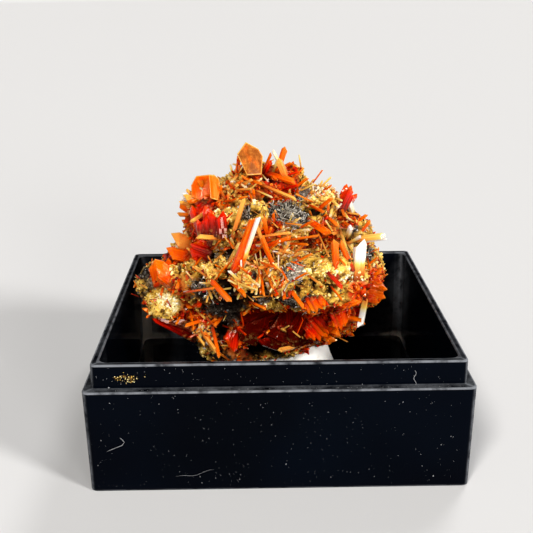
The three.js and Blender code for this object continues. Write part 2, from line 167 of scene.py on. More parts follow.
@dataclass
class Shape:
    """A mesh as arrays, in millimetres.

    points is (n, 3). corners is the flat list of every face's point numbers, and sizes says how many
    corners each face has. values holds numbers for each point, and uv (corners, 2) a place for each corner.
    """

    points: Array
    corners: Array
    sizes: Array
    values: dict[str, Array] = field(default_factory=dict)
    uv: Array | None = None

    @staticmethod
    def net(points: Array, faces: Array, values: dict[str, Array] | None = None) -> Shape:
        """A shape of four-sided faces (m, 4)."""
        return Shape(points, faces.reshape(-1), np.full(len(faces), 4), values or {})

    @staticmethod
    def joined(shapes: Sequence[Shape]) -> Shape:
        """One shape that holds them all."""
        starts = np.cumsum([0] + [len(s.points) for s in shapes[:-1]])
        return Shape(
            np.concatenate([s.points for s in shapes]),
            np.concatenate([s.corners + start for s, start in zip(shapes, starts)]),
            np.concatenate([s.sizes for s in shapes]),
            {k: np.concatenate([s.values[k] for s in shapes]) for k in shapes[0].values},
            np.concatenate([s.uv for s in shapes]),
        )

    def piece(self, name: str, finish: Finish, smooth: bool = False) -> bpy.types.Object:
        """Makes the object, dresses it and lets it ride.

        Args:
            name: the object's name.
            finish: its material.
            smooth: whether its shading runs across the edges.
        Returns:
            The object, at the origin.
        """
        mesh = bpy.data.meshes.new(name)
        mesh.vertices.add(len(self.points))
        mesh.vertices.foreach_set("co", (self.points * MM).astype(np.float32).ravel())
        mesh.loops.add(len(self.corners))
        mesh.loops.foreach_set("vertex_index", self.corners.astype(np.int32))
        mesh.polygons.add(len(self.sizes))
        starts = np.concatenate([[0], np.cumsum(self.sizes)[:-1]])
        mesh.polygons.foreach_set("loop_start", starts.astype(np.int32))
        mesh.polygons.foreach_set("use_smooth", np.full(len(self.sizes), smooth))
        mesh.update(calc_edges=True)
        for key, numbers in self.values.items():
            kind, target = ("FLOAT", "value") if numbers.ndim == 1 else ("FLOAT_COLOR", "color")
            layer = mesh.attributes.new(key, kind, "POINT")
            layer.data.foreach_set(target, numbers.astype(np.float32).ravel())
        if self.uv is not None:
            mesh.uv_layers.new(name=UV_MAP)
            mesh.uv_layers[0].uv.foreach_set("vector", self.uv.astype(np.float32).ravel())
        mesh.materials.append(finish.material())
        obj = add(name, mesh)
        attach(obj, BODY)
        LOG.info("%s: %d triangles", name, (self.sizes - 2).sum())
        return obj


def tube(rings: Array, values: Mapping[str, Array] | None = None, uv: Array | None = None) -> Shape:
    """Closed skins through rings of points, each end closed by a flat fan to the ring's mean.

    Args:
        rings: (skins, rings, around, 3), counter-clockwise as seen from the last ring.
        values: for each name, a number for each ring point (skins, rings, around).
        uv: (skins, rings, around + 1, 2), the last column the seam's far side.
    Returns:
        All the skins as one shape.
    """
    count, length, around, _ = rings.shape
    grid = rings.reshape(count, length * around, 3)
    poles = rings[:, [0, -1]].mean(axis=2)
    points = np.concatenate([grid, poles], axis=1).reshape(-1, 3)
    r, i = np.meshgrid(np.arange(length - 1), np.arange(around), indexing="ij")
    a, b = r * around + i, r * around + (i + 1) % around
    sides = np.stack([a, b, b + around, a + around], axis=-1).reshape(-1)
    i = np.arange(around)
    j, top = (i + 1) % around, (length - 1) * around
    low, high = np.full(around, length * around), np.full(around, length * around + 1)
    fans = np.concatenate([np.stack([low, j, i], -1), np.stack([high, top + i, top + j], -1)]).reshape(-1)
    starts = (np.arange(count) * (length * around + 2))[:, None]
    corners = np.concatenate([starts + sides, starts + fans], axis=1).reshape(-1)
    sizes = np.tile(np.concatenate([np.full((length - 1) * around, 4), np.full(2 * around, 3)]), count)
    made = Shape(points, corners, sizes)
    for key, numbers in (values or {}).items():
        ends = numbers[:, [0, -1]].mean(axis=2)
        made.values[key] = np.concatenate([numbers.reshape(count, -1), ends], axis=1).reshape(-1)
    if uv is not None:
        flat = [np.stack([uv[:, :-1, :-1], uv[:, :-1, 1:], uv[:, 1:, 1:], uv[:, 1:, :-1]], axis=3)]
        for row, order in ((0, (2, 1, 0)), (-1, (2, 0, 1))):
            before, after = uv[:, row, :-1], uv[:, row, 1:]
            fan = (before, after, (before + after) / 2.0)
            flat.append(np.stack([fan[k] for k in order], axis=2))
        made.uv = np.concatenate([part.reshape(count, -1, 2) for part in flat], axis=1).reshape(-1, 2)
    return made


def ball() -> tuple[Array, Array]:
    """The points (12, 3) on the unit ball and the faces (20, 3) of a ball of equal triangles."""
    made = bmesh.new()
    bmesh.ops.create_icosphere(made, subdivisions=1, radius=1.0)
    points = np.array([v.co[:] for v in made.verts])
    faces = np.array([[v.index for v in f.verts] for f in made.faces])
    made.free()
    return points, faces


def lumps(centres: Array, radii: Array, rng: Random) -> Shape:
    """Small uneven lumps: balls pulled to a random ellipsoid, each point moved in or out at random.

    Args:
        centres: (n, 3).
        radii: (n,).
        rng: where the unevenness comes from.
    Returns:
        All the lumps as one shape, with a random "tint" from 0 to 1 for each.
    """
    base, faces = ball()
    count = len(centres)
    turns = np.linalg.qr(rng.normal(size=(count, 3, 3)))[0]
    turns *= np.sign(np.linalg.det(turns))[:, None, None]
    stretch = rng.uniform(*LUMP_STRETCH, (count, 1, 3)) * radii[:, None, None]
    local = base * stretch * rng.uniform(*LUMP_PULL, (count, len(base), 1))
    points = centres[:, None] + np.einsum("nij,nvj->nvi", turns, local)
    starts = (np.arange(count) * len(base))[:, None, None]
    tint = np.repeat(rng.uniform(size=count), len(base))
    corners = (starts + faces).reshape(-1)
    return Shape(points.reshape(-1, 3), corners, np.full(count * len(faces), 3), {"tint": tint})


def voxel_skin(node: bpy.types.Object, voxel: float, smoothing: int) -> tuple[Array, Array]:
    """A CAD node's surface again, as an even net of small four-sided faces.

    Args:
        node: the node, whose own mesh is left alone.
        voxel: the size of the faces in millimetres.
        smoothing: how many times the net is relaxed.
    Returns:
        The net's points (n, 3) in millimetres and its faces (m, 4).
    """
    copy = node.data.copy()
    welded = bmesh.new()
    welded.from_mesh(copy)
    bmesh.ops.remove_doubles(welded, verts=welded.verts, dist=WELD)
    welded.to_mesh(copy)
    welded.free()
    form = add("net", copy)
    remesh = form.modifiers.new("net", "REMESH")
    remesh.mode, remesh.voxel_size = "VOXEL", voxel * MM
    relax = form.modifiers.new("relax", "SMOOTH")
    relax.factor, relax.iterations = RELAX, smoothing
    net = form.evaluated_get(bpy.context.evaluated_depsgraph_get()).to_mesh()
    points, corners = read(net.vertices, "co", 3), read(net.loops, "vertex_index", 1, np.int32)
    bpy.data.objects.remove(form)
    bpy.data.meshes.remove(copy)
    return points.astype(float) / MM, corners.reshape(-1, 4)


def point_normals(points: Array, faces: Array) -> Array:
    """The way out at each point: the sum of its faces' diagonals' cross products, brought to length 1."""
    a, b, c, d = (points[faces[:, k]] for k in range(4))
    face = np.cross(c - a, d - b)
    total = np.zeros_like(points)
    for k, axis in np.ndindex(4, 3):
        total[:, axis] += np.bincount(faces[:, k], face[:, axis], len(points))
    return unit(total)


# ---------------- shader trees
def operator(operation: str, reflected: bool = False) -> Callable[[Wire, Wire | float], Wire]:
    """A method of Wire that adds a Math node of its wire and another, or the other way round if reflected."""

    def method(self: Wire, other: Wire | float) -> Wire:
        """One Math node."""
        first, second = (other, self) if reflected else (self, other)
        return self.graph.node("ShaderNodeMath", {"operation": operation}, {0: first, 1: second})

    return method


@dataclass(frozen=True)
class Wire:
    """A socket of a shader tree. Arithmetic on wires and numbers adds Math nodes."""

    graph: Graph
    socket: bpy.types.NodeSocket | None

    __add__, __radd__ = operator("ADD"), operator("ADD", reflected=True)
    __sub__, __rsub__ = operator("SUBTRACT"), operator("SUBTRACT", reflected=True)
    __mul__, __rmul__ = operator("MULTIPLY"), operator("MULTIPLY", reflected=True)

    def above(self, low: float, high: float) -> Wire:
        """A mask that goes smoothly from 0 at low to 1 at high."""
        settings = {"interpolation_type": "SMOOTHSTEP"}
        return self.graph.node("ShaderNodeMapRange", settings, {0: self, 1: low, 2: high})


Link = Wire | float | tuple[float, ...]


class Graph:
    """The shader tree of one material."""

    def __init__(self, name: str) -> None:
        """Makes an empty material."""
        self.material = bpy.data.materials.new(name)
        self.material.use_nodes = True
        self.tree = self.material.node_tree
        self.tree.nodes.clear()

    def node(
        self,
        kind: str,
        settings: Mapping[str, object] | None = None,
        inputs: Mapping[int | str, Link] | None = None,
        output: int | str = 0,
    ) -> Wire:
        """Adds a node.

        Args:
            kind: the node's type.
            settings: its properties; "stops" is a colour ramp's list of (place, colour).
            inputs: values or wires for its sockets, by number or name.
            output: the socket that the wire comes from.
        Returns:
            The wire.
        """
        made = self.tree.nodes.new(kind)
        for key, value in (settings or {}).items():
            if key == "stops":
                self._stops(made.color_ramp, value)
            else:
                setattr(made, key, value)
        for key, value in (inputs or {}).items():
            if isinstance(value, Wire):
                self.tree.links.new(value.socket, made.inputs[key])
            else:
                made.inputs[key].default_value = value
        return Wire(self, made.outputs[output] if len(made.outputs) else None)

    @staticmethod
    def _stops(ramp: bpy.types.ColorRamp, stops: Stops) -> None:
        """Writes a colour ramp's stops."""
        while len(ramp.elements) < len(stops):
            ramp.elements.new(1.0)
        for element, (place, colour) in zip(ramp.elements, stops):
            element.position = place
            element.color = (*colour, 1.0)

    def place(self) -> Wire:
        """Where a point lies on the piece, in metres."""
        return self.node("ShaderNodeTexCoord", output="Object")

    def noise(self, per_mm: float, detail: float = 3.0, rough: float = 0.5, at: Wire | None = None) -> Wire:
        """Noise from 0 to 1 with so many features to the millimetre."""
        sockets = {"Vector": at or self.place(), "Scale": per_mm / MM, "Detail": detail, "Roughness": rough}
        return self.node("ShaderNodeTexNoise", {}, sockets)

    def cells(self, per_mm: float) -> Wire:
        """The distance to the nearest cell's centre, from 0, with so many cells to the millimetre."""
        return self.node("ShaderNodeTexVoronoi", {}, {"Vector": self.place(), "Scale": per_mm / MM})

    def value(self, name: str, output: str = "Fac") -> Wire:
        """A number, or with output "Color" a colour, that the mesh holds for each point."""
        return self.node("ShaderNodeAttribute", {"attribute_name": name}, output=output)

    def split(self, colour: Wire) -> list[Wire]:
        """The three numbers of a colour."""
        first = self.node("ShaderNodeSeparateColor", {}, {0: colour})
        return [Wire(self, socket) for socket in first.socket.node.outputs]

    def ramp(self, by: Wire, stops: Stops) -> Wire:
        """A colour for each value of by."""
        return self.node("ShaderNodeValToRGB", {"stops": stops}, {0: by})

    def mix(self, factor: Link, first: Wire | Triple, second: Wire | Triple) -> Wire:
        """A colour between two."""
        pair = [c if isinstance(c, Wire) else (*c, 1.0) for c in (first, second)]
        return self.node("ShaderNodeMix", {"data_type": "RGBA"}, {0: factor, 6: pair[0], 7: pair[1]}, 2)

    def bump(self, height: Wire, depth_mm: float, strength: float) -> Wire:
        """The surface's direction once a height from 0 to 1 is raised on it."""
        sockets = {"Height": height, "Distance": depth_mm * MM, "Strength": strength}
        return self.node("ShaderNodeBump", {}, sockets)

    def surface(self, **sockets: Link) -> bpy.types.Material:
        """Ends the tree in one principled surface; a socket's name has _ for each space."""
        named = {key.replace("_", " "): value for key, value in sockets.items()}
        self.node("ShaderNodeOutputMaterial", {}, {"Surface": self.node("ShaderNodeBsdfPrincipled", {}, named)})
        return self.material


# ---------------- finishes
class Mineral(Enum):
    """What the matrix is made of, in the order of the colour that its points hold."""

    LIMONITE = 0
    MANGANESE = 1
    CROCOITE = 2


class Hue(Enum):
    """A crystal's colour, as a place on the ramp from dark to pale; the palest is a painted highlight."""

    # deep red, darkened further as painted shade for crystals low in the rock's shade
    DARK = 0.0
    RED = 0.2
    ORANGE = 0.4
    SALMON = 0.6
    # YELLOW and CREAM are partly a paler tint and partly painted highlight.
    YELLOW = 0.8
    CREAM = 0.9
    # painted highlight: glare on a face turned to the light
    WHITE = 1.0


LIMONITE_RAMP = [
    (0.14, (0.02, 0.008, 0.002)), (0.3, (0.16, 0.068, 0.008)), (0.45, (0.5, 0.265, 0.028)),
    (0.62, (0.85, 0.56, 0.1)), (0.82, (1.0, 0.91, 0.48)), (0.98, (1.0, 0.97, 0.86)),
]
MANGANESE_RAMP = [
    (0.3, (0.008, 0.005, 0.004)), (0.52, (0.045, 0.034, 0.024)), (0.68, (0.22, 0.18, 0.13)),
    (0.82, (0.64, 0.56, 0.43)),
]
DRUSE_RAMP = [(0.25, (0.13, 0.004, 0.001)), (0.5, (0.48, 0.022, 0.002)), (0.75, (0.82, 0.11, 0.008))]
GRIME_RAMP = [(0.3, (0.09, 0.022, 0.002)), (0.5, (0.27, 0.078, 0.007)), (0.72, (0.56, 0.23, 0.03))]
# Its palest, near-white stops are painted highlight; its darkest are partly painted shade.
CROCOITE_RAMP = [
    (0.02, (0.07, 0.001, 0.0)), (0.11, (0.26, 0.002, 0.0)), (0.2, (0.72, 0.009, 0.0)),
    (0.4, (1.0, 0.15, 0.0)), (0.6, (1.0, 0.37, 0.06)), (0.78, (1.0, 0.64, 0.13)),
    (0.9, (1.0, 0.83, 0.56)), (1.0, (1.0, 0.91, 0.8)),
]
FIBRE_RAMP = [(0.1, (0.06, 0.045, 0.03)), (0.5, (0.3, 0.27, 0.21)), (0.9, (0.78, 0.75, 0.68))]


@dataclass(frozen=True)
class Finish:
    """A material and the name of the slot that it belongs to."""

    name: str
    slot: str

    def material(self) -> bpy.types.Material:
        """The material, made once."""
        return bpy.data.materials.get(self.name) or self.build(Graph(self.name))

    def build(self, graph: Graph) -> bpy.types.Material:
        """Each finish wires its own tree."""
        raise NotImplementedError


@dataclass(frozen=True)
class BlackStyrene(Finish):
    """Glossy moulded polystyrene with a film of dust, fine scuffs, and clouds of a faint bluish tint painted in
    as a reflection.

    One value of the mesh says how much wear a point shows, partly real and partly painted highlight along the
    edges and down the inner corners: grey up to 1, and a painted white highlight from 1 to 3. Its "settled"
    says how much dust lies there, and its "mirror" is 1 on the floor alone.
    """

    name: str = "dusty_styrene"
    slot: str = "black_styrene"
    black: Triple = (0.0006, 0.0009, 0.002)
    painted_reflection: Triple = (0.0008, 0.0016, 0.0038)
    dust: Triple = (0.16, 0.17, 0.19)
    highlight_white: Triple = (0.8, 0.8, 0.72)
    polish: float = 0.07  # the clean plastic's roughness
    mirror: float = 0.8  # the coat's weight on the floor

    def build(self, graph: Graph) -> bpy.types.Material:
        """Dust lightens and dulls the gloss in specks and on the level faces; the edges are grey with wear and
        painted highlight, and the inner corners take a painted white highlight.
        """
        clouds = graph.noise(0.05, 3.0).above(0.4, 0.7)
        specks = 1.0 - graph.cells(2.6).above(0.03, 0.07)
        gate = graph.noise(0.9, 2.0).above(0.5, 0.62)
        film = graph.value("settled") * graph.noise(0.7, 5.0, 0.65).above(0.3, 0.75) * 0.5
        worn_or_lit = graph.value("rubbed")
        rubbed = worn_or_lit * graph.noise(0.8, 4.0, 0.6).above(0.25, 0.6) * 0.9
        scuffs = graph.noise(1.6, 6.0, 0.7).above(0.6, 0.75)
        # Painted reflection: clouds of a faint bluish tint in the black.
        colour = graph.mix(clouds, self.black, self.painted_reflection)
        # The grey of dust, also the grey of the edges: partly wear, partly painted highlight.
        colour = graph.mix(specks * gate * 0.4 + film + rubbed, colour, self.dust)
        # Painted white highlight down the inner corners and at their feet.
        highlit = worn_or_lit.above(1.0, 2.0) * graph.noise(1.2, 4.0, 0.6).above(0.3, 0.6) + worn_or_lit.above(2.0, 3.0)
        return graph.surface(
            Base_Color=graph.mix(highlit, colour, self.highlight_white),
            Roughness=self.polish + clouds * 0.08 + scuffs * 0.08 + film * 0.5 + rubbed * 0.3,
            Normal=graph.bump(graph.noise(0.1, 2.0), 0.05, 0.4),
            IOR=1.55,
            Specular_IOR_Level=0.015,
            Coat_Weight=graph.value("mirror") * self.mirror,
            Coat_Roughness=0.06,
        )


@dataclass(frozen=True)
class WhitePutty(Finish):
    """Soft white putty with rust specks picked up from the specimen."""

    name: str = "thumbed_putty"
    slot: str = "white_putty"
    white: Triple = (0.84, 0.83, 0.79)
    stain: Triple = (0.5, 0.3, 0.12)

    def build(self, graph: Graph) -> bpy.types.Material:
        """Stains gather where two noises agree; a fine grain breaks the gloss."""
        stains = graph.noise(0.5, 4.0).above(0.56, 0.72) * graph.noise(2.2, 3.0).above(0.4, 0.7)
        return graph.surface(
            Base_Color=graph.mix(stains * 0.7, self.white, self.stain),
            Roughness=0.5 + stains * 0.3,
            Normal=graph.bump(graph.noise(1.8, 5.0, 0.6), 0.1, 0.5),
            Subsurface_Weight=0.25,
            Subsurface_Radius=(1.0, 0.9, 0.75),
            Subsurface_Scale=0.8 * MM,
        )


@dataclass(frozen=True)
class Gossan(Finish):
    """The matrix: crumbly limonite, black manganese oxide and a crust of red crocoite."""

    name: str = "crusted_gossan"
    slot: str = "gossan"
    crevice_shade: Triple = (0.005, 0.002, 0.001)
    crevice_shade_weight: float = 0.985

    def build(self, graph: Graph) -> bpy.types.Material:
        """The points' minerals choose between three mottled colours and shift the gloss; the colours are
        painted lighter where the rock is open and black in its crevices and hollows, as painted highlight and
        shade.
        """
        _, black, red = graph.split(graph.value("minerals", "Color"))
        mottle = graph.noise(1.3, 6.0, 0.68)
        grit = graph.noise(5.5, 3.0, 0.6)
        open_air = graph.value("open_air")
        # Each ramp is raised by how open the point is: painted highlight on the knobs, painted shade in the
        # crevices.
        limonite = graph.ramp(mottle * 0.45 + grit * 0.35 + open_air * 0.5 - 0.18, LIMONITE_RAMP)
        manganese = graph.ramp(grit * 0.6 + mottle * 0.35 + open_air * 0.25 - 0.08, MANGANESE_RAMP)
        druse = graph.ramp(mottle * 0.6 + open_air * 0.4, DRUSE_RAMP)
        colour = graph.mix(red, graph.mix(black, limonite, manganese), druse)
        # Painted shade: the crevices and hollows go black.
        return graph.surface(
            Base_Color=graph.mix((1.0 - open_air.above(0.1, 0.6)) * self.crevice_shade_weight, colour, self.crevice_shade),
            Roughness=0.85 - (red * 0.5 + black * 0.3) * open_air,
            Normal=graph.bump(grit * 0.7 + mottle * 0.5, 0.22, 0.9),
            IOR=1.5,
            Specular_IOR_Level=0.05,
        )


@dataclass(frozen=True)
class Crumbs(Finish):
    """Loose limonite grains, each with its own tone, which on the rock is painted lighter the more open its
    place is.
    """

    name: str = "limonite_crumbs"
    slot: str = "gossan"

    def build(self, graph: Graph) -> bpy.types.Material:
        """A grain's tint and a fine mottle pick its place on the limonite ramp; on the rock the tint carries
        painted highlight and shade.
        """
        mottle = graph.noise(1.3, 6.0, 0.68)
        shade = graph.value("tint") * 0.85 + (mottle - 0.5) * 0.9 + (graph.noise(6.0, 3.0) - 0.5) * 0.6
        return graph.surface(
            Base_Color=graph.ramp(shade, LIMONITE_RAMP),
            Roughness=0.5,
            Normal=graph.bump(graph.noise(9.0, 2.0), 0.08, 0.8),
            Specular_IOR_Level=0.3,
        )


@dataclass(frozen=True)
class Manganese(Finish):
    """Black to steel-grey manganese oxide grains."""

    name: str = "manganese_grains"
    slot: str = "gossan"

    def build(self, graph: Graph) -> bpy.types.Material:
        """A grain's tint, which carries painted highlight and shade, sets its grey; the broken faces glint."""
        shade = graph.value("tint") * 0.75 + graph.noise(5.0, 3.0) * 0.4 - 0.1
        return graph.surface(
            Base_Color=graph.ramp(shade, MANGANESE_RAMP),
            Roughness=0.6,
            Specular_IOR_Level=0.05,
            Coat_Weight=graph.value("tint").above(0.35, 0.7),
            Coat_Roughness=0.35,
            Coat_IOR=1.9,
        )


@dataclass(frozen=True)
class Crocoite(Finish):
    """Translucent lead chromate with an adamantine lustre, striated along the prism."""

    name: str = "striated_crocoite"
    slot: str = "crocoite"
    ochre: Triple = (0.46, 0.25, 0.06)
    # painted shade towards each crystal's root
    shade: Triple = (0.05, 0.004, 0.001)
    stretch: Triple = (1.0, 0.07, 1.0)  # draws the noise out along the prism

    def build(self, graph: Graph) -> bpy.types.Material:
        """The crystal's hue and the strips along it pick the colour; ochre dust clings near the root, and the
        root is painted dark as shade.
        """
        along = graph.node("ShaderNodeUVMap", {"uv_map": UV_MAP})
        stretched = graph.node("ShaderNodeMapping", {}, {0: along, 3: self.stretch})
        strips = graph.noise(6.0 * MM, 2.0, 0.5, stretched)
        grow = graph.value("grow")
        hue = graph.value("hue") + (strips - 0.5) * 0.28 + grow * 0.12 - 0.08
        dusty = (1.0 - grow.above(0.05, 0.45)) * graph.noise(2.4, 4.0, 0.6).above(0.5, 0.66)
        grime = graph.value("grime") * graph.noise(1.1, 5.0, 0.6).above(0.15, 0.52)
        colour = graph.mix(dusty * 0.7, graph.ramp(hue, CROCOITE_RAMP), self.ochre)
        colour = graph.mix(grime, colour, graph.ramp(graph.noise(3.2, 4.0, 0.6), GRIME_RAMP))
        return graph.surface(
            # Painted shade: each crystal darker towards its root, as "clear" says.
            Base_Color=graph.mix((1.0 - graph.value("clear")) * 0.8, colour, self.shade),
            Roughness=0.16 + dusty * 0.45 + grime * 0.3 + strips * 0.06,
            Normal=graph.bump(strips + graph.noise(2.6, 3.0, 0.55) * 0.9, 0.05, 0.5),
            IOR=1.6,
            Specular_IOR_Level=0.25,
            Specular_Tint=(1.0, 0.3, 0.12, 1.0),
            Coat_Weight=0.2 - dusty * 0.15 - grime * 0.12,
            Coat_Roughness=0.08,
            Coat_IOR=1.6,
            Transmission_Weight=0.15,
            Subsurface_Weight=0.6,
            Subsurface_Radius=(1.0, 0.85, 0.7),
            Subsurface_Scale=0.6 * MM,
        )


@dataclass(frozen=True)
class GreyFibre(Finish):
    """Silky grey-white fibres that cross the black patches."""

    name: str = "silky_grey_fibre"
    slot: str = "gossan"

    def build(self, graph: Graph) -> bpy.types.Material:
        """Each fibre's hue picks its grey, browner near the root."""
        shade = graph.value("hue") * 0.7 + graph.value("grow") * 0.3
        return graph.surface(Base_Color=graph.ramp(shade, FIBRE_RAMP), Roughness=0.3 + shade * 0.1)


@dataclass(frozen=True)
class Lint(Finish):
    """Pale dust, lint and crumbs on the box."""

    name: str = "lint"
    slot: str = "black_styrene"
    pale: Triple = (0.42, 0.43, 0.45)
    dark: Triple = (0.08, 0.08, 0.09)

    def build(self, graph: Graph) -> bpy.types.Material:
        """A mottle between two greys."""
        return graph.surface(Base_Color=graph.mix(graph.noise(3.0), self.dark, self.pale), Roughness=0.8)


# ---------------- viewpoint
@dataclass(frozen=True)
class Viewpoint:
    """Where the best face is seen from.

    A sight is (across, up) in millimetres on a plane square to the line of sight, distance from the eye.
    """

    eye: Triple = (-1.84, -82.61, 41.03)
    distance: float = 91.1
    tilt: float = 17.84  # degrees down
    yaw: float = 0.73  # degrees to the right
    roll: float = 0.5  # degrees
    breadth: float = 53.3  # how much of that plane the camera sees, millimetres
    sensor: float = 36.0
    clip: Pair = (0.005, 20.0)  # metres

    def axes(self) -> Array:
        """The rows are the ways right, up and forward, for that tilt, yaw and roll."""
        tilt, yaw, roll = (math.radians(a) for a in (self.tilt, self.yaw, self.roll))
        forward = np.array([math.sin(yaw) * math.cos(tilt), math.cos(yaw) * math.cos(tilt), -math.sin(tilt)])
        level = np.array([math.cos(yaw), -math.sin(yaw), 0.0])
        right = level * math.cos(roll) + np.cross(forward, level) * math.sin(roll)
        return np.stack([right, np.cross(right, forward), forward])

    def lines(self, sights: Array) -> Array:
        """The directions in which the eye sees sights (n, 2)."""
        right, up, forward = self.axes()
        return unit(forward * self.distance + sights[:, :1] * right + sights[:, 1:2] * up)

    def at(self, sights: Array, away: Array) -> Array:
        """The points behind sights (n, 2) that lie so far from the eye."""
        return np.array(self.eye) + self.lines(sights) * away[:, None]

    def on_front(self, sights: Array, y: float) -> Array:
        """Where those directions meet the upright plane at y."""
        return self.at(sights, (y - self.eye[1]) / self.lines(sights)[:, 1])

    def camera(self) -> None:
        """The camera at the eye."""
        data = bpy.data.cameras.new("camera")
        data.sensor_width = self.sensor
        data.lens = data.sensor_width * self.distance / self.breadth
        data.clip_start, data.clip_end = self.clip
        right, up, forward = self.axes()
        facing = Matrix([[*row] for row in np.stack([right, up, -forward], axis=1)]).to_4x4()
        camera = add("camera", data)
        camera.matrix_world = Matrix.Translation(Vector(self.eye) * MM) @ facing
        bpy.context.scene.camera = camera


class Carrier:
    """A solid's surface and the eye that looks at it, for finding places on it, in millimetres.

    A spot is (across, up, radius): a sight, and a radius round the surface's point behind it.
    """

    DRAWN_IN = 0.97  # what a sight is multiplied by while it misses the solid

    def __init__(self, node: bpy.types.Object, view: Viewpoint) -> None:
        """Sorts the CAD node's triangles in a tree."""
        mesh = node.data
        mesh.calc_loop_triangles()
        faces = read(mesh.loop_triangles, "vertices", 3, np.int32)
        self.tree = BVHTree.FromPolygons((read(mesh.vertices, "co", 3) / MM).tolist(), faces.tolist())
        self.view = view
        self.eye = np.array(view.eye)

    def meet(self, origin: Array, direction: Array) -> Array | None:
        """The first point of the surface along a ray, or None."""
        hit = self.tree.ray_cast(Vector(origin), Vector(direction))[0]
        return None if hit is None else np.array(hit)

    def behind(self, sight: Sequence[float]) -> Array:
        """The surface's point behind a sight; one past the solid's edge is drawn in until it meets it."""
        hit, sight = None, np.array([sight])
        while hit is None:
            hit = self.meet(self.eye, self.view.lines(sight)[0])
            sight = sight * self.DRAWN_IN
        return hit

    def face(self, sight: Sequence[float], lift: float) -> float:
        """How far from the eye something stands that is lifted so far before the surface behind a sight."""
        return np.linalg.norm(self.behind(sight) - self.eye) - lift

    def away(self, points: Array, spot: Triple) -> Array:
        """How far points (n, 3) lie from a spot's middle, in its radii."""
        return np.linalg.norm(points - self.behind(spot[:2]), axis=1) / spot[2]

    def bell(self, points: Array, spot: Triple, power: int = 2) -> Array:
        """How close points are to a spot: the bell exp(-away^power)."""
        return np.exp(-(self.away(points, spot) ** power))


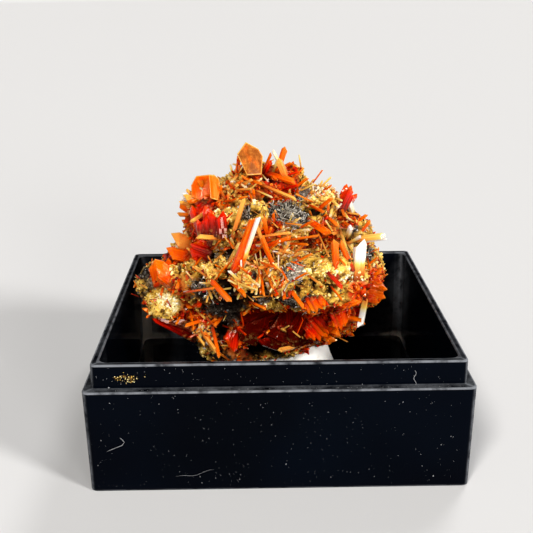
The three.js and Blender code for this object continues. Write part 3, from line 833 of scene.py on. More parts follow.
# ---------------- display box
@dataclass
class DisplayBox:
    """The moulded black tray: a drafted lower tier, the ledge for a lid, and the thin collar inside it.

    Two rows, for the inner corners at the rear right, rear left, front left and front right, say how bright the
    painted highlight is that runs down each corner, and how bright the one at its foot.
    """

    width: float
    rim: float
    collar_height: float = 2.1
    ledge: float = 0.7
    wall: float = 0.6
    floor: float = 1.2
    draft: float = 0.2
    corner: float = 0.6
    least_corner: float = 0.2
    inner_corner: float = 0.9
    edge: float = 0.12
    corner_steps: int = 10
    edge_steps: int = 5
    support: float = 0.05  # a loop this far from each rounding keeps the flats flat
    wipe: float = 3.8  # how far from its corners the floor's edge shows grey
    inside_from: float = 0.9  # how far into the wall the inside begins, as a share of it
    overrun: float = 1.0  # how far inwards the section runs on, under the foot and over the floor
    # grey down the middle of every rounded corner: partly wear, partly painted highlight
    corner_highlight: float = 0.7
    # Painted highlights of the inner corners: down each corner, then at its foot up to a height.
    corner_highlights: tuple[float, ...] = (1.0, 3.4, 1.0, 1.0)
    foot_highlights: tuple[float, ...] = (2.0, 3.0, 2.0, 2.0)
    foot_highlight_height: float = 0.5
    half: float = field(init=False)  # half the tier's width
    collar: float = field(init=False)  # half the collar's width
    inside: float = field(init=False)  # half widths below this are inside the collar
    tier: float = field(init=False)  # the ledge's height

    def __post_init__(self) -> None:
        """Works out the sizes that follow from the others."""
        self.half = self.width / 2.0
        self.collar = self.half - self.ledge
        self.inside = self.collar - self.inside_from * self.wall
        self.tier = self.rim - self.collar_height

    def profile(self) -> tuple[Array, Array, Array]:
        """The wall's section, every edge rounded by a quarter arc.

        A bend is (half width, height, radius, how much wear and painted highlight, dust before, on and after
        it).

        Returns:
            The section as (half width, height), then how much wear and painted highlight and how dusty each of
            its points is.
        """
        inner, edge = self.collar - self.wall, self.edge
        bends = [
            (self.half - self.draft, 0.0, edge, 0.3, 0.0, 0.0, 0.0),
            (self.half, self.tier, edge, 1.0, 0.0, 0.5, 1.0),
            (self.collar, self.tier, 0.5 * edge, 0.1, 1.0, 0.5, 0.0),
            (self.collar, self.rim, edge, 1.0, 0.0, 0.3, 0.4),
            (inner, self.rim, edge, 0.6, 0.4, 0.3, 0.0),
            (inner, self.floor + 1.0, edge, 0.0, 0.0, 0.0, 0.0),
            (inner, self.floor, 2.0 * edge, 0.0, 0.0, 0.2, 0.04),
        ]
        foot = (self.half - self.draft - self.overrun, 0.0)
        path = np.array([foot, *[bend[:2] for bend in bends], (inner - self.overrun, self.floor)])
        points, rubbed, settled = [path[0]], [0.0], [0.0]
        for k, (_, _, radius, rub, before, on, after) in enumerate(bends, start=1):
            bend = self.rounded(*path[k - 1 : k + 2], radius)
            points.extend(bend)
            rubbed.extend([0.0, *np.full(len(bend) - 2, rub), 0.0])
            settled.extend([before, *np.full(len(bend) - 2, on), after])
        return np.array([*points, path[-1]]), np.array([*rubbed, 0.0]), np.array([*settled, settled[-1]])

    def rounded(self, before: Array, bend: Array, after: Array, radius: float) -> list[Array]:
        """An arc in place of a bend, with a support point on either side.

        The arc is the quadratic blend (1-t)^2 a + 2t(1-t) bend + t^2 b from a to b, radius off the bend.
        """
        way_in, way_out = unit(before - bend), unit(after - bend)
        a, b = bend + way_in * radius, bend + way_out * radius
        t = np.linspace(0.0, 1.0, self.edge_steps + 1)[:, None]
        arc = (1 - t) ** 2 * a + 2 * t * (1 - t) * bend + t**2 * b
        return [a + way_in * self.support, *arc, b + way_out * self.support]

    def square(self, half: float) -> Array:
        """A rounded square of that half width: its arcs' points, with two support points beside each.

        An outer corner's radius falls by a quarter of the way in from the tier.
        """
        outer_corner = max(self.corner - (self.half - half) / 4.0, self.least_corner)
        radius = self.inner_corner if half < self.inside else outer_corner
        angle = np.linspace(0.0, math.pi / 2.0, self.corner_steps + 1)
        arc = (half - radius) + radius * np.stack([np.cos(angle), np.sin(angle)], axis=1)
        beside = half - radius - np.array([self.wipe, self.support])
        first = np.stack([np.full(2, half), beside], axis=1)
        quarter = np.concatenate([first, arc, first[::-1, ::-1]])
        return np.concatenate([quarter @ turned(k * math.pi / 2.0) for k in range(4)])

    def round_the_square(self, arc: Array, beside: float, levels: Sequence[float]) -> Array:
        """A number for each point of the square: the arc's or the one beside it, times its corner's level."""
        corner = np.array([0.0, beside, *arc, beside, 0.0])
        return np.concatenate([level * corner for level in levels])

    def build(self) -> None:
        """The section carried round the square, both ends closed flat.

        Edges and corners show wear and painted highlight. Inside, a painted highlight runs down each corner,
        brighter with the depth, up to a brighter painted highlight at its foot. The floor is clean, and a
        mirror.
        """
        profile, rubbed, settled = self.profile()
        half, height = profile[:, :1], profile[:, 1:]
        rings = np.stack([self.square(x) for x in profile[:, 0]])
        heights = np.broadcast_to(height[:, None], (*rings.shape[:2], 1))
        bright = np.ones(self.corner_steps + 1)
        peak = np.clip(1.0 - 4.0 * np.abs(np.linspace(0.0, 1.0, self.corner_steps + 1) - 0.5), 0.0, 1.0)
        # Edges, and a line down the middle of every corner, grey with wear and painted highlight.
        worn_or_lit = np.maximum(rubbed[:, None], self.round_the_square(peak, 0.0, 4 * [self.corner_highlight]))
        within = (half < self.inside) & (height > self.floor)
        depth = np.clip((self.rim - height) / (self.rim - self.floor), 0.0, 1.0)
        # Painted highlight down the inner corners, growing towards the floor.
        corner_lit = np.maximum(worn_or_lit, self.round_the_square(bright, 0.5, self.corner_highlights) * depth)
        low = within & (height < self.floor + self.foot_highlight_height)
        # Painted highlight at each inner corner's foot.
        worn_or_lit = np.where(low, self.round_the_square(bright, 1.0, self.foot_highlights), np.where(within, corner_lit, worn_or_lit))
        bottom = (np.abs(height - self.floor) < 0.01) & (half < self.collar)
        values = {
            "rubbed": (worn_or_lit * ~bottom)[None],
            "settled": np.broadcast_to(settled[:, None], worn_or_lit.shape)[None],
            "mirror": np.broadcast_to(bottom, worn_or_lit.shape)[None].astype(float),
        }
        shape = tube(np.concatenate([rings, heights], axis=2)[None], values)
        tray = shape.piece("display_box", BlackStyrene(), smooth=True)
        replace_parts(tray, "display_box_base")


def stacked(*xyz: Array | float) -> Array:
    """Points (n, 3) from their coordinates; a number stands for all of them."""
    return np.stack(np.broadcast_arrays(*xyz), axis=1)


def thread(paths: Array, radii: Array) -> Shape:
    """Six-sided threads along paths (n, steps, 3), thinning to a point at both ends.

    Each ring lies square to the path; its radius is the thread's times sin(pi t)^0.3.
    """
    way = unit(np.gradient(paths, axis=1))
    side = unit(np.cross(way, [0.3, 0.1, 1.0]))
    other = np.cross(way, side)
    cos, sin = circle(6)
    t = np.linspace(0.03, 0.97, paths.shape[1])
    radius = radii[:, None, None, None] * (np.sin(math.pi * t) ** 0.3)[None, :, None, None]
    section = side[:, :, None] * cos[:, None] + other[:, :, None] * sin[:, None]
    return tube(paths[:, :, None] + radius * section)


@dataclass
class BoxMarks:
    """What lies on the box: dust, two fibres, a smear of ochre crumbs and a wavy hair."""

    box: DisplayBox
    view: Viewpoint
    flecks_in_front: int = 260
    flecks_elsewhere: int = 180  # as many on the sides as on the floor
    flecks_in_band: int = 65  # as many on the collar as on the ledge
    fleck: float = 0.02
    hook: tuple[Pair, ...] = (
        (-15.95, -18.5), (-15.1, -18.15), (-14.45, -17.9), (-14.22, -17.6), (-14.4, -17.35), (-14.65, -17.15),
    )
    thick: float = 0.022  # the hook's and the hair's radius
    thin: float = 0.008  # the faint fibre's
    crumbs: int = 110
    crumb: Pair = (0.015, 0.055)
    smear_middle: Pair = (-13.9, -11.2)
    smear_spread: Pair = (0.65, 0.24)
    clear: float = 0.02  # how far a fibre stands off the box
    steps: int = 16
    seed: int = 11

    def build(self) -> None:
        """Makes the four pieces."""
        rng = np.random.default_rng(self.seed)
        self.dust(rng)
        self.fibres()
        self.smear(rng)
        self.hair()

    def on_tier(self, count: int, rng: Random) -> Array:
        """Random places on the front of the lower tier, which leans in towards its foot."""
        box = self.box
        z = rng.uniform(0.3, box.tier - 0.3, count)
        x = rng.uniform(-box.half + 0.8, box.half - 0.8, count)
        return np.stack([x, box.draft * (1.0 - z / box.tier) - box.half, z], axis=1)

    def dust(self, rng: Random) -> None:
        """Flecks scattered over the tier's front, then its other sides, the collar, the ledge and the floor."""
        box, band = self.box, self.flecks_in_band
        front, sides = self.on_tier(self.flecks_in_front, rng), self.on_tier(self.flecks_elsewhere, rng)
        turn = np.array([1, 1j, -1, -1j])[rng.integers(1, 4, self.flecks_elsewhere)]
        moved = (sides[:, 0] + 1j * sides[:, 1]) * turn
        sides = stacked(moved.real, moved.imag, sides[:, 2])
        z = rng.uniform(box.tier + 0.1, box.rim - 0.2, band)
        collar = stacked(rng.uniform(-box.collar + 0.5, box.collar - 0.5, band), -box.collar, z)
        ledge = stacked(rng.uniform(-box.half + 0.5, box.half - 0.5, band), -box.half + 0.35, box.tier)
        floor = stacked(*rng.uniform(-13.5, 13.5, (self.flecks_elsewhere, 2)).T, box.floor)
        spots = np.concatenate([front, sides, collar, ledge, floor])
        size = self.fleck * rng.lognormal(0.0, 0.4, len(spots))
        lumps(spots, size, rng).piece("box_dust", Lint())

    def fibres(self) -> None:
        """A hooked lint fibre on the front of the lower tier, and a long faint one below it."""
        hook = np.array(self.hook)
        t = np.linspace(0.0, 1.0, self.steps)
        bent = np.stack([np.interp(t, np.linspace(0, 1, len(hook)), hook[:, k]) for k in (0, 1)], axis=1)
        long = np.stack([-9.0 + 3.5 * t, -21.0 + 0.65 * t**2 + 0.08 * np.sin(9.0 * t)], axis=1)
        paths = np.stack([self.view.on_front(sights, -self.box.half - self.clear) for sights in (bent, long)])
        thread(paths, np.array([self.thick, self.thin])).piece("box_fibre", Lint(), smooth=True)

    def smear(self, rng: Random) -> None:
        """Ochre crumbs rubbed on the front of the collar."""
        spots = rng.normal(self.smear_middle, self.smear_spread, (self.crumbs, 2))
        points = self.view.on_front(spots, -self.box.collar)
        points[:, 2] = np.clip(points[:, 2], self.box.tier + 0.1, self.box.rim - 0.1)
        lumps(points, rng.uniform(*self.crumb, self.crumbs), rng).piece("box_smear", Crumbs())

    def hair(self) -> None:
        """A fine wavy hair that hangs down the front of the collar."""
        t = np.linspace(0.0, 1.0, self.steps)
        sights = np.stack([14.85 + 0.12 * np.sin(9.0 * t), -10.4 - 1.5 * t], axis=1)
        path = self.view.on_front(sights, -self.box.collar - self.clear)
        thread(path[None], np.array([self.thick])).piece("box_hair", Lint(), smooth=True)


# ---------------- putty
@dataclass
class Putty:
    """The white lump that holds the specimen, thumbed smooth.

    wells are the spots where it is squeezed up before the rock, each with how far.
    """

    floor: float
    view: Viewpoint
    voxel: float = 0.22
    smoothing: int = 8
    dent: float = 0.16
    wrinkle: float = 0.03
    inset: float = 0.04
    clear: float = 0.02  # how far it stays above the floor
    wells: Sequence[tuple[float, Triple]] = ((1.9, (3.3, -8.9, 2.2)), (1.7, (0.2, -9.4, 1.6)))

    def build(self, node: bpy.types.Object) -> None:
        """The CAD mound as a fine net, moved along its normals by broad dents, small wrinkles and the wells."""
        points, faces = voxel_skin(node, self.voxel, self.smoothing)
        normals = point_normals(points, faces)
        carrier = Carrier(node, self.view)
        relief = self.dent * fractal(points * 0.55, 2, 3) + self.wrinkle * fractal(points * 2.6, 2, 7)
        for far, spot in self.wells:
            relief += far * carrier.bell(points, spot)
        points = points + normals * (relief - self.inset)[:, None]
        points[:, 2] = np.maximum(points[:, 2], self.floor + self.clear)
        lump = Shape.net(points, faces).piece("putty", WhitePutty(), smooth=True)
        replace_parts(lump, "mounting_putty")


# ---------------- matrix
# Patches of one mineral on the best face, as spots (across, up, radius).
PATCHES = {
    Mineral.LIMONITE: [
        (-3.9, 5.0, 1.5), (-0.7, 5.7, 1.0), (-5.1, -0.2, 1.9), (-3.0, -0.3, 1.5), (-1.9, -1.5, 1.1),
        (1.4, 0.6, 1.6), (5.1, 1.4, 1.4), (8.0, -0.5, 1.4), (3.9, -2.2, 1.3), (6.8, -2.3, 1.2),
        (-10.3, -3.9, 1.6), (-11.3, -3.3, 0.9), (-8.7, 2.4, 0.9), (-2.5, 8.5, 1.1), (5.6, 8.0, 1.1),
        (4.0, 8.4, 0.8), (-2.1, 0.5, 1.0), (6.3, 5.1, 0.9), (11.0, 2.5, 0.9), (0.6, -3.9, 0.8),
        (-2.2, -4.4, 0.6), (9.2, 0.6, 0.8), (-12.2, 0.2, 0.9), (-12.6, -1.5, 1.1),
    ],
    Mineral.MANGANESE: [
        (1.6, 5.7, 1.4), (3.2, 5.0, 1.3), (3.8, 6.9, 1.0), (-2.1, 5.3, 0.6), (-1.2, -1.0, 0.7),
        (2.8, -0.3, 1.0), (-12.3, -0.9, 1.6), (-5.6, -6.9, 1.1), (-5.2, -8.9, 0.9), (10.4, 1.7, 0.9),
        (-3.8, -4.6, 2.0), (-1.2, -3.0, 1.2), (4.3, -3.4, 0.9), (-6.4, -2.6, 1.3), (0.2, -8.4, 1.8),
        (-4.0, -2.6, 0.9), (2.2, -3.6, 0.8),
    ],
    Mineral.CROCOITE: [
        (-6.1, 5.0, 1.9), (-7.0, 7.6, 1.6), (-1.6, 1.9, 1.2), (5.3, 2.9, 1.5), (4.4, -5.4, 2.4),
        (6.9, -4.5, 2.3), (11.1, -1.9, 1.7), (1.4, 8.9, 1.6), (-10.6, -0.4, 1.5), (-8.6, -5.8, 2.1),
        (-0.6, -5.4, 2.4), (1.9, -7.0, 2.0), (8.8, 6.6, 1.3), (7.3, 4.2, 1.4), (-2.7, -7.3, 1.3),
        (-9.2, 1.1, 1.2), (-6.4, 2.6, 1.3), (-6.6, -5.4, 1.4), (0.8, 4.0, 1.0), (9.2, -2.4, 1.0),
    ],
}
# Hollows on the best face: sunk into the rock, and painted black as shade.
HOLLOWS = (
    (-3.9, -4.5, 1.7), (-3.8, -2.5, 0.9), (-1.6, -2.9, 0.6), (-6.8, -1.3, 0.7), (-4.7, -6.4, 0.8),
    (-3.4, 1.4, 0.6), (-0.5, -8.4, 1.6), (0.2, 8.9, 0.5), (-2.2, -3.6, 0.6), (-6.3, -2.7, 0.5),
)
# Painted highlights: spots where the crust is painted paler, towards cream, as glare.
GLARE_SPOTS = (
    (-9.7, -3.3, 1.2), (5.8, 8.2, 0.9), (7.9, -1.2, 0.8), (11.0, -0.9, 0.7), (-0.6, -4.4, 0.6),
    (-4.3, 4.9, 0.5), (-4.4, 8.6, 0.6), (-3.4, 0.4, 0.6), (5.2, 1.9, 0.5), (2.0, 1.4, 0.5),
    (-6.4, 0.5, 0.5), (9.3, -1.8, 0.6), (3.1, -0.5, 0.8), (3.9, 6.9, 0.6),
)


@dataclass
class Skin:
    """The finished rock's surface: where crumbs lie and crystals grow."""

    points: Array
    faces: Array
    normals: Array
    minerals: Array  # the share of each, (points, 3)
    open_air: Array  # from 0 in the crevices and hollows to 1 on the knobs, and more at the glare spots; it paints shade and highlight into the colours
    bare: Array  # 0 where nothing grows, 1 elsewhere

    def scatter(self, weights: Array, count: int, rng: Random) -> tuple[Array, Array, Array]:
        """Random places on the surface.

        Args:
            weights: (points,) how likely each point's surroundings are.
            count: how many places.
            rng: where the choice comes from.
        Returns:
            The places and the ways out there, both (count, 3), and how open each place is (count,).
        """
        a, b, c, d = (self.points[self.faces[:, k]] for k in range(4))
        area = np.linalg.norm(np.cross(c - a, d - b), axis=1)
        odds = area * weights[self.faces].mean(axis=1)
        chosen = self.faces[rng.choice(len(self.faces), count, p=odds / odds.sum())]
        s, t = rng.uniform(size=(2, count, 1))
        blend = [(1 - s) * (1 - t), s * (1 - t), s * t, (1 - s) * t]
        places = sum(w * self.points[chosen[:, k]] for k, w in enumerate(blend))
        ways = unit(sum(w * self.normals[chosen[:, k]] for k, w in enumerate(blend)))
        return places, ways, self.open_air[chosen].mean(axis=1)


@dataclass
class GossanRock:
    """The matrix, roughened from the CAD solid, with its minerals painted on its points."""

    carrier: Carrier
    voxel: float = 0.14
    smoothing: int = 6
    knob: float = 0.95  # millimetres from one knob of limonite to the next
    hollow: float = 1.1  # how deep the black hollows go
    bias: Triple = (0.14, -0.1, 0.06)  # how common each mineral is away from its patches
    spread: float = 1.35  # how far a patch reaches, in its radii
    sharpness: float = 9.0  # of the borders between minerals
    deepest: float = -0.6

    def minerals_at(self, points: Array) -> Array:
        """Shares (n, 3) of the three minerals at points.

        Each mineral scores slow noise, plus a cone that falls from each of its patches' centres to
        nothing at its edge; the shares are the scores' softmax, sharp enough for clear borders.
        """
        scores = []
        ragged = 0.45 * fractal(points * 0.9, 2, 5)
        for mineral, bias in zip(Mineral, self.bias):
            score = 0.75 * fractal(points / 3.4, 3, 20 + 7 * mineral.value) + bias
            for across, up, radius in PATCHES[mineral]:
                away = self.carrier.away(points, (across, up, self.spread * radius))
                score = np.maximum(score, 1.5 * (1.0 - away) + ragged)
            scores.append(score)
        power = np.exp(self.sharpness * np.stack(scores, axis=1))
        return power / power.sum(axis=1, keepdims=True)

    def build(self, node: bpy.types.Object) -> Skin:
        """The CAD rock as a fine net, raised into knobs, pits and grit along its normals.

        Limonite rises in round knobs with smaller ones on them, manganese in close grit with pits, and the red
        crust in small angular steps. How open each point is, from its height, paints shade in the crevices and
        highlight on the knobs; the hollows sink and count as closed, painted black as shade, and the glare
        spots count as more open, painted paler as highlight.
        """
        points, faces = voxel_skin(node, self.voxel, self.smoothing)
        normals = point_normals(points, faces)
        minerals = self.minerals_at(points)
        warped = points + 0.35 * np.stack([fractal(points * 0.9, 2, 40 + k) for k in range(3)], axis=1)
        huge, large, small = knobs(warped / 2.1, 4), knobs(warped / self.knob, 1), knobs(warped / 0.42, 2)
        grit = fractal(points * 2.4, 2, 9)
        heights = [
            0.60 * huge + 0.34 * large + 0.22 * small + 0.11 * grit - 0.80,
            0.22 * small + 0.20 * grit - 0.28 - 0.25 * np.maximum(fractal(points * 0.8, 2, 12), 0.0),
            0.14 * small + 0.22 * np.abs(grit) - 0.16,
        ]
        height = np.maximum((np.stack(heights, axis=1) * minerals).sum(axis=1), self.deepest)
        # How open each point is, from its height: the colours use it to paint shade in the crevices and
        # highlight on the knobs.
        open_air = np.clip(0.5 + (height - np.median(height)) / 0.8, 0.0, 1.0)
        hollow = np.zeros(len(points))
        for spot in HOLLOWS:
            hollow = np.maximum(hollow, self.carrier.bell(points, spot, 4))
        points = points + normals * (height - self.hollow * hollow)[:, None]
        # The hollows count as closed, so the colours paint them black as shade.
        open_air = open_air * (1.0 - hollow)
        # Painted highlight: the glare spots count as more open, so they are painted paler.
        for spot in GLARE_SPOTS:
            open_air = open_air + 0.8 * (1.6 - open_air) * self.carrier.bell(points, spot)
        colours = np.column_stack([minerals, np.ones(len(points))])
        shape = Shape.net(points, faces, {"minerals": colours, "open_air": open_air})
        rock = shape.piece("gossan_matrix", Gossan(), smooth=True)
        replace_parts(rock, "matrix")
        return Skin(points, faces, point_normals(points, faces), minerals, open_air, 1.0 - hollow)


@dataclass
class Grains:
    """Loose-looking grains that cover the matrix."""

    skin: Skin
    crumbs: int = 9400
    crumb: float = 0.085
    grits: int = 2600
    grit: float = 0.08
    sizes: Pair = (0.03, 0.3)  # least and most
    seed: int = 23

    def build(self) -> None:
        """Scatters ochre crumbs over the limonite and dark grit over the manganese."""
        rng = np.random.default_rng(self.seed)
        self.cover("limonite_crumbs", Crumbs(), Mineral.LIMONITE, self.crumbs, self.crumb, rng)
        self.cover("manganese_grit", Manganese(), Mineral.MANGANESE, self.grits, self.grit, rng)

    def cover(self, name: str, finish: Finish, on: Mineral, count: int, size: float, rng: Random) -> None:
        """Half-sunk grains of log-normal size about that many millimetres."""
        weights = self.skin.minerals[:, on.value]
        weights = (weights**2 + 0.01) * (0.04 + self.skin.open_air**1.5) * self.skin.bare
        places, ways, open_air = self.skin.scatter(weights, count, rng)
        radii = np.clip(size * rng.lognormal(0.0, 0.5, count), *self.sizes)
        grains = lumps(places + ways * (0.3 * radii)[:, None], radii, rng)
        each = len(grains.points) // count
        # Painted light: a grain's tint rises with how open its place is, lighter on the knobs and darker in the
        # crevices.
        grains.values["tint"] = 0.5 * grains.values["tint"] + 0.55 * np.repeat(open_air, each)
        grains.piece(name, finish)


# ---------------- crystals
@dataclass(frozen=True)
class Seen:
    """A crystal of the best face, from the sight of its root to the sight of its tip.

    lift brings the tip towards the eye; turn is degrees about its own axis; flat is depth over width.
    """

    from_across: float
    from_up: float
    to_across: float
    to_up: float
    width: float
    lift: float
    hue: Hue
    turn: float | None = None
    flat: float = 0.8


D, R, O, S, Y, C, W = Hue  # from dark to white, the white a painted highlight

# The crystals that the CAD holds as solids, region by region, as the numbers of Seen.
FRONT = {
    "crown": [
        (-3.0, 9.2, -2.7, 11.2, 0.45, 0.3, O), (1.1, 9.5, 1.9, 12.0, 0.6, 0.2, O, 31, 0.9),
        (2.0, 8.8, 1.1, 10.9, 0.85, 0.8, S), (1.6, 9.6, 0.6, 11.7, 0.4, 0.4, C),
        (0.4, 9.2, 3.0, 8.4, 0.65, 1.2, O),
    ],
    "upper_left": [
        (-5.2, 7.3, -6.8, 8.8, 1.3, 0.4, O, 35), (-5.2, 7.4, -5.4, 9.2, 0.5, 0.4, O),
        (-6.3, 6.5, -8.4, 7.0, 0.8, 0.5, S, 12, 0.9), (-5.6, 7.0, -7.9, 6.4, 0.6, 0.9, O),
        (-5.2, 2.8, -5.8, 6.2, 1.4, 0.9, R, 15, 0.5), (-6.2, 3.0, -7.3, 6.2, 1.2, 0.5, R, 41, 0.6),
        (-5.1, 6.1, -7.6, 4.4, 0.45, 1.6, S), (-4.5, 2.8, -7.0, 3.0, 0.5, 1.5, S),
    ],
    "left_step": [
        (-7.9, 2.2, -9.8, 2.8, 1.6, 0.6, S, 30), (-8.2, 1.0, -10.2, 1.5, 1.2, 0.6, O, 24),
        (-9.7, -1.2, -11.6, 0.3, 1.7, 0.5, O, 40), (-7.7, 0.8, -9.6, -1.6, 0.7, 0.8, O),
        (-8.7, 0.8, -10.4, -1.3, 0.6, 0.7, O),
    ],
    "foot": [
        (-7.4, -6.1, -11.4, -4.6, 1.0, 0.2, D, 18, 0.4), (-6.5, -6.4, -5.0, -8.6, 0.5, 0.7, S),
        (-5.3, -6.6, -4.7, -9.2, 0.5, 0.6, O), (-3.0, -6.4, -3.4, -8.6, 0.9, 0.7, R, 33, 0.7),
        (-1.6, -7.0, -0.3, -4.6, 2.0, 0.8, D, 12, 0.4), (0.9, -7.0, 0.9, -4.7, 1.8, 0.8, D, 38, 0.4),
        (3.2, -7.4, 2.6, -4.6, 2.0, 0.9, D, 20, 0.4), (3.6, -7.3, 1.5, -6.1, 0.5, 0.9, S),
        (3.9, -7.8, 1.2, -8.4, 0.5, 1.5, S),
    ],
    "front_ledge": [
        (-6.0, -0.9, -3.5, -3.6, 0.6, 0.7, O), (-3.3, -1.7, -2.0, -3.0, 0.5, 0.8, O),
        (2.5, -2.5, 3.8, -4.2, 0.6, 0.8, O), (6.0, -0.4, 7.6, -2.2, 0.5, 0.8, R),
    ],
    "lower_right": [
        (10.0, -2.7, 9.3, -6.2, 0.7, 1.5, W, 26), (7.4, -4.9, 9.9, -5.6, 0.65, 0.5, O),
        (7.8, -4.0, 9.4, -3.3, 0.9, 0.5, O), (6.2, -5.6, 7.8, -5.9, 0.8, 0.7, O),
        (6.0, -6.2, 7.5, -6.8, 0.8, 0.7, O), (5.4, -6.6, 6.8, -7.6, 0.8, 0.7, O),
    ],
    "right": [
        (7.0, -0.6, 6.8, 2.8, 0.7, 1.0, O, 27), (8.4, 0.1, 7.3, 2.6, 0.55, 0.9, O),
        (9.2, -0.7, 9.4, 2.8, 1.1, 0.8, W, 14, 0.6), (9.4, 2.8, 11.9, 3.1, 0.7, 0.4, Y),
        (7.5, 5.8, 8.5, 7.8, 1.0, 0.3, R, 33), (4.6, 4.3, 6.4, 3.2, 0.8, 0.9, O),
    ],
    "centre": [
        (-3.2, -0.3, -1.15, 5.1, 0.82, 1.2, O, 24), (-3.7, 0.4, -2.5, 2.5, 0.55, 1.1, Y),
        (-3.3, 3.2, -2.2, 6.9, 0.6, 1.2, S), (0.1, 1.1, -1.1, 4.3, 0.5, 1.4, S),
        (0.8, -0.3, -0.5, 3.1, 0.45, 1.1, O), (0.1, 2.1, 2.5, 3.0, 0.5, 1.5, O),
        (0.2, 2.7, -0.3, 4.8, 0.5, 1.2, O),
    ],
}

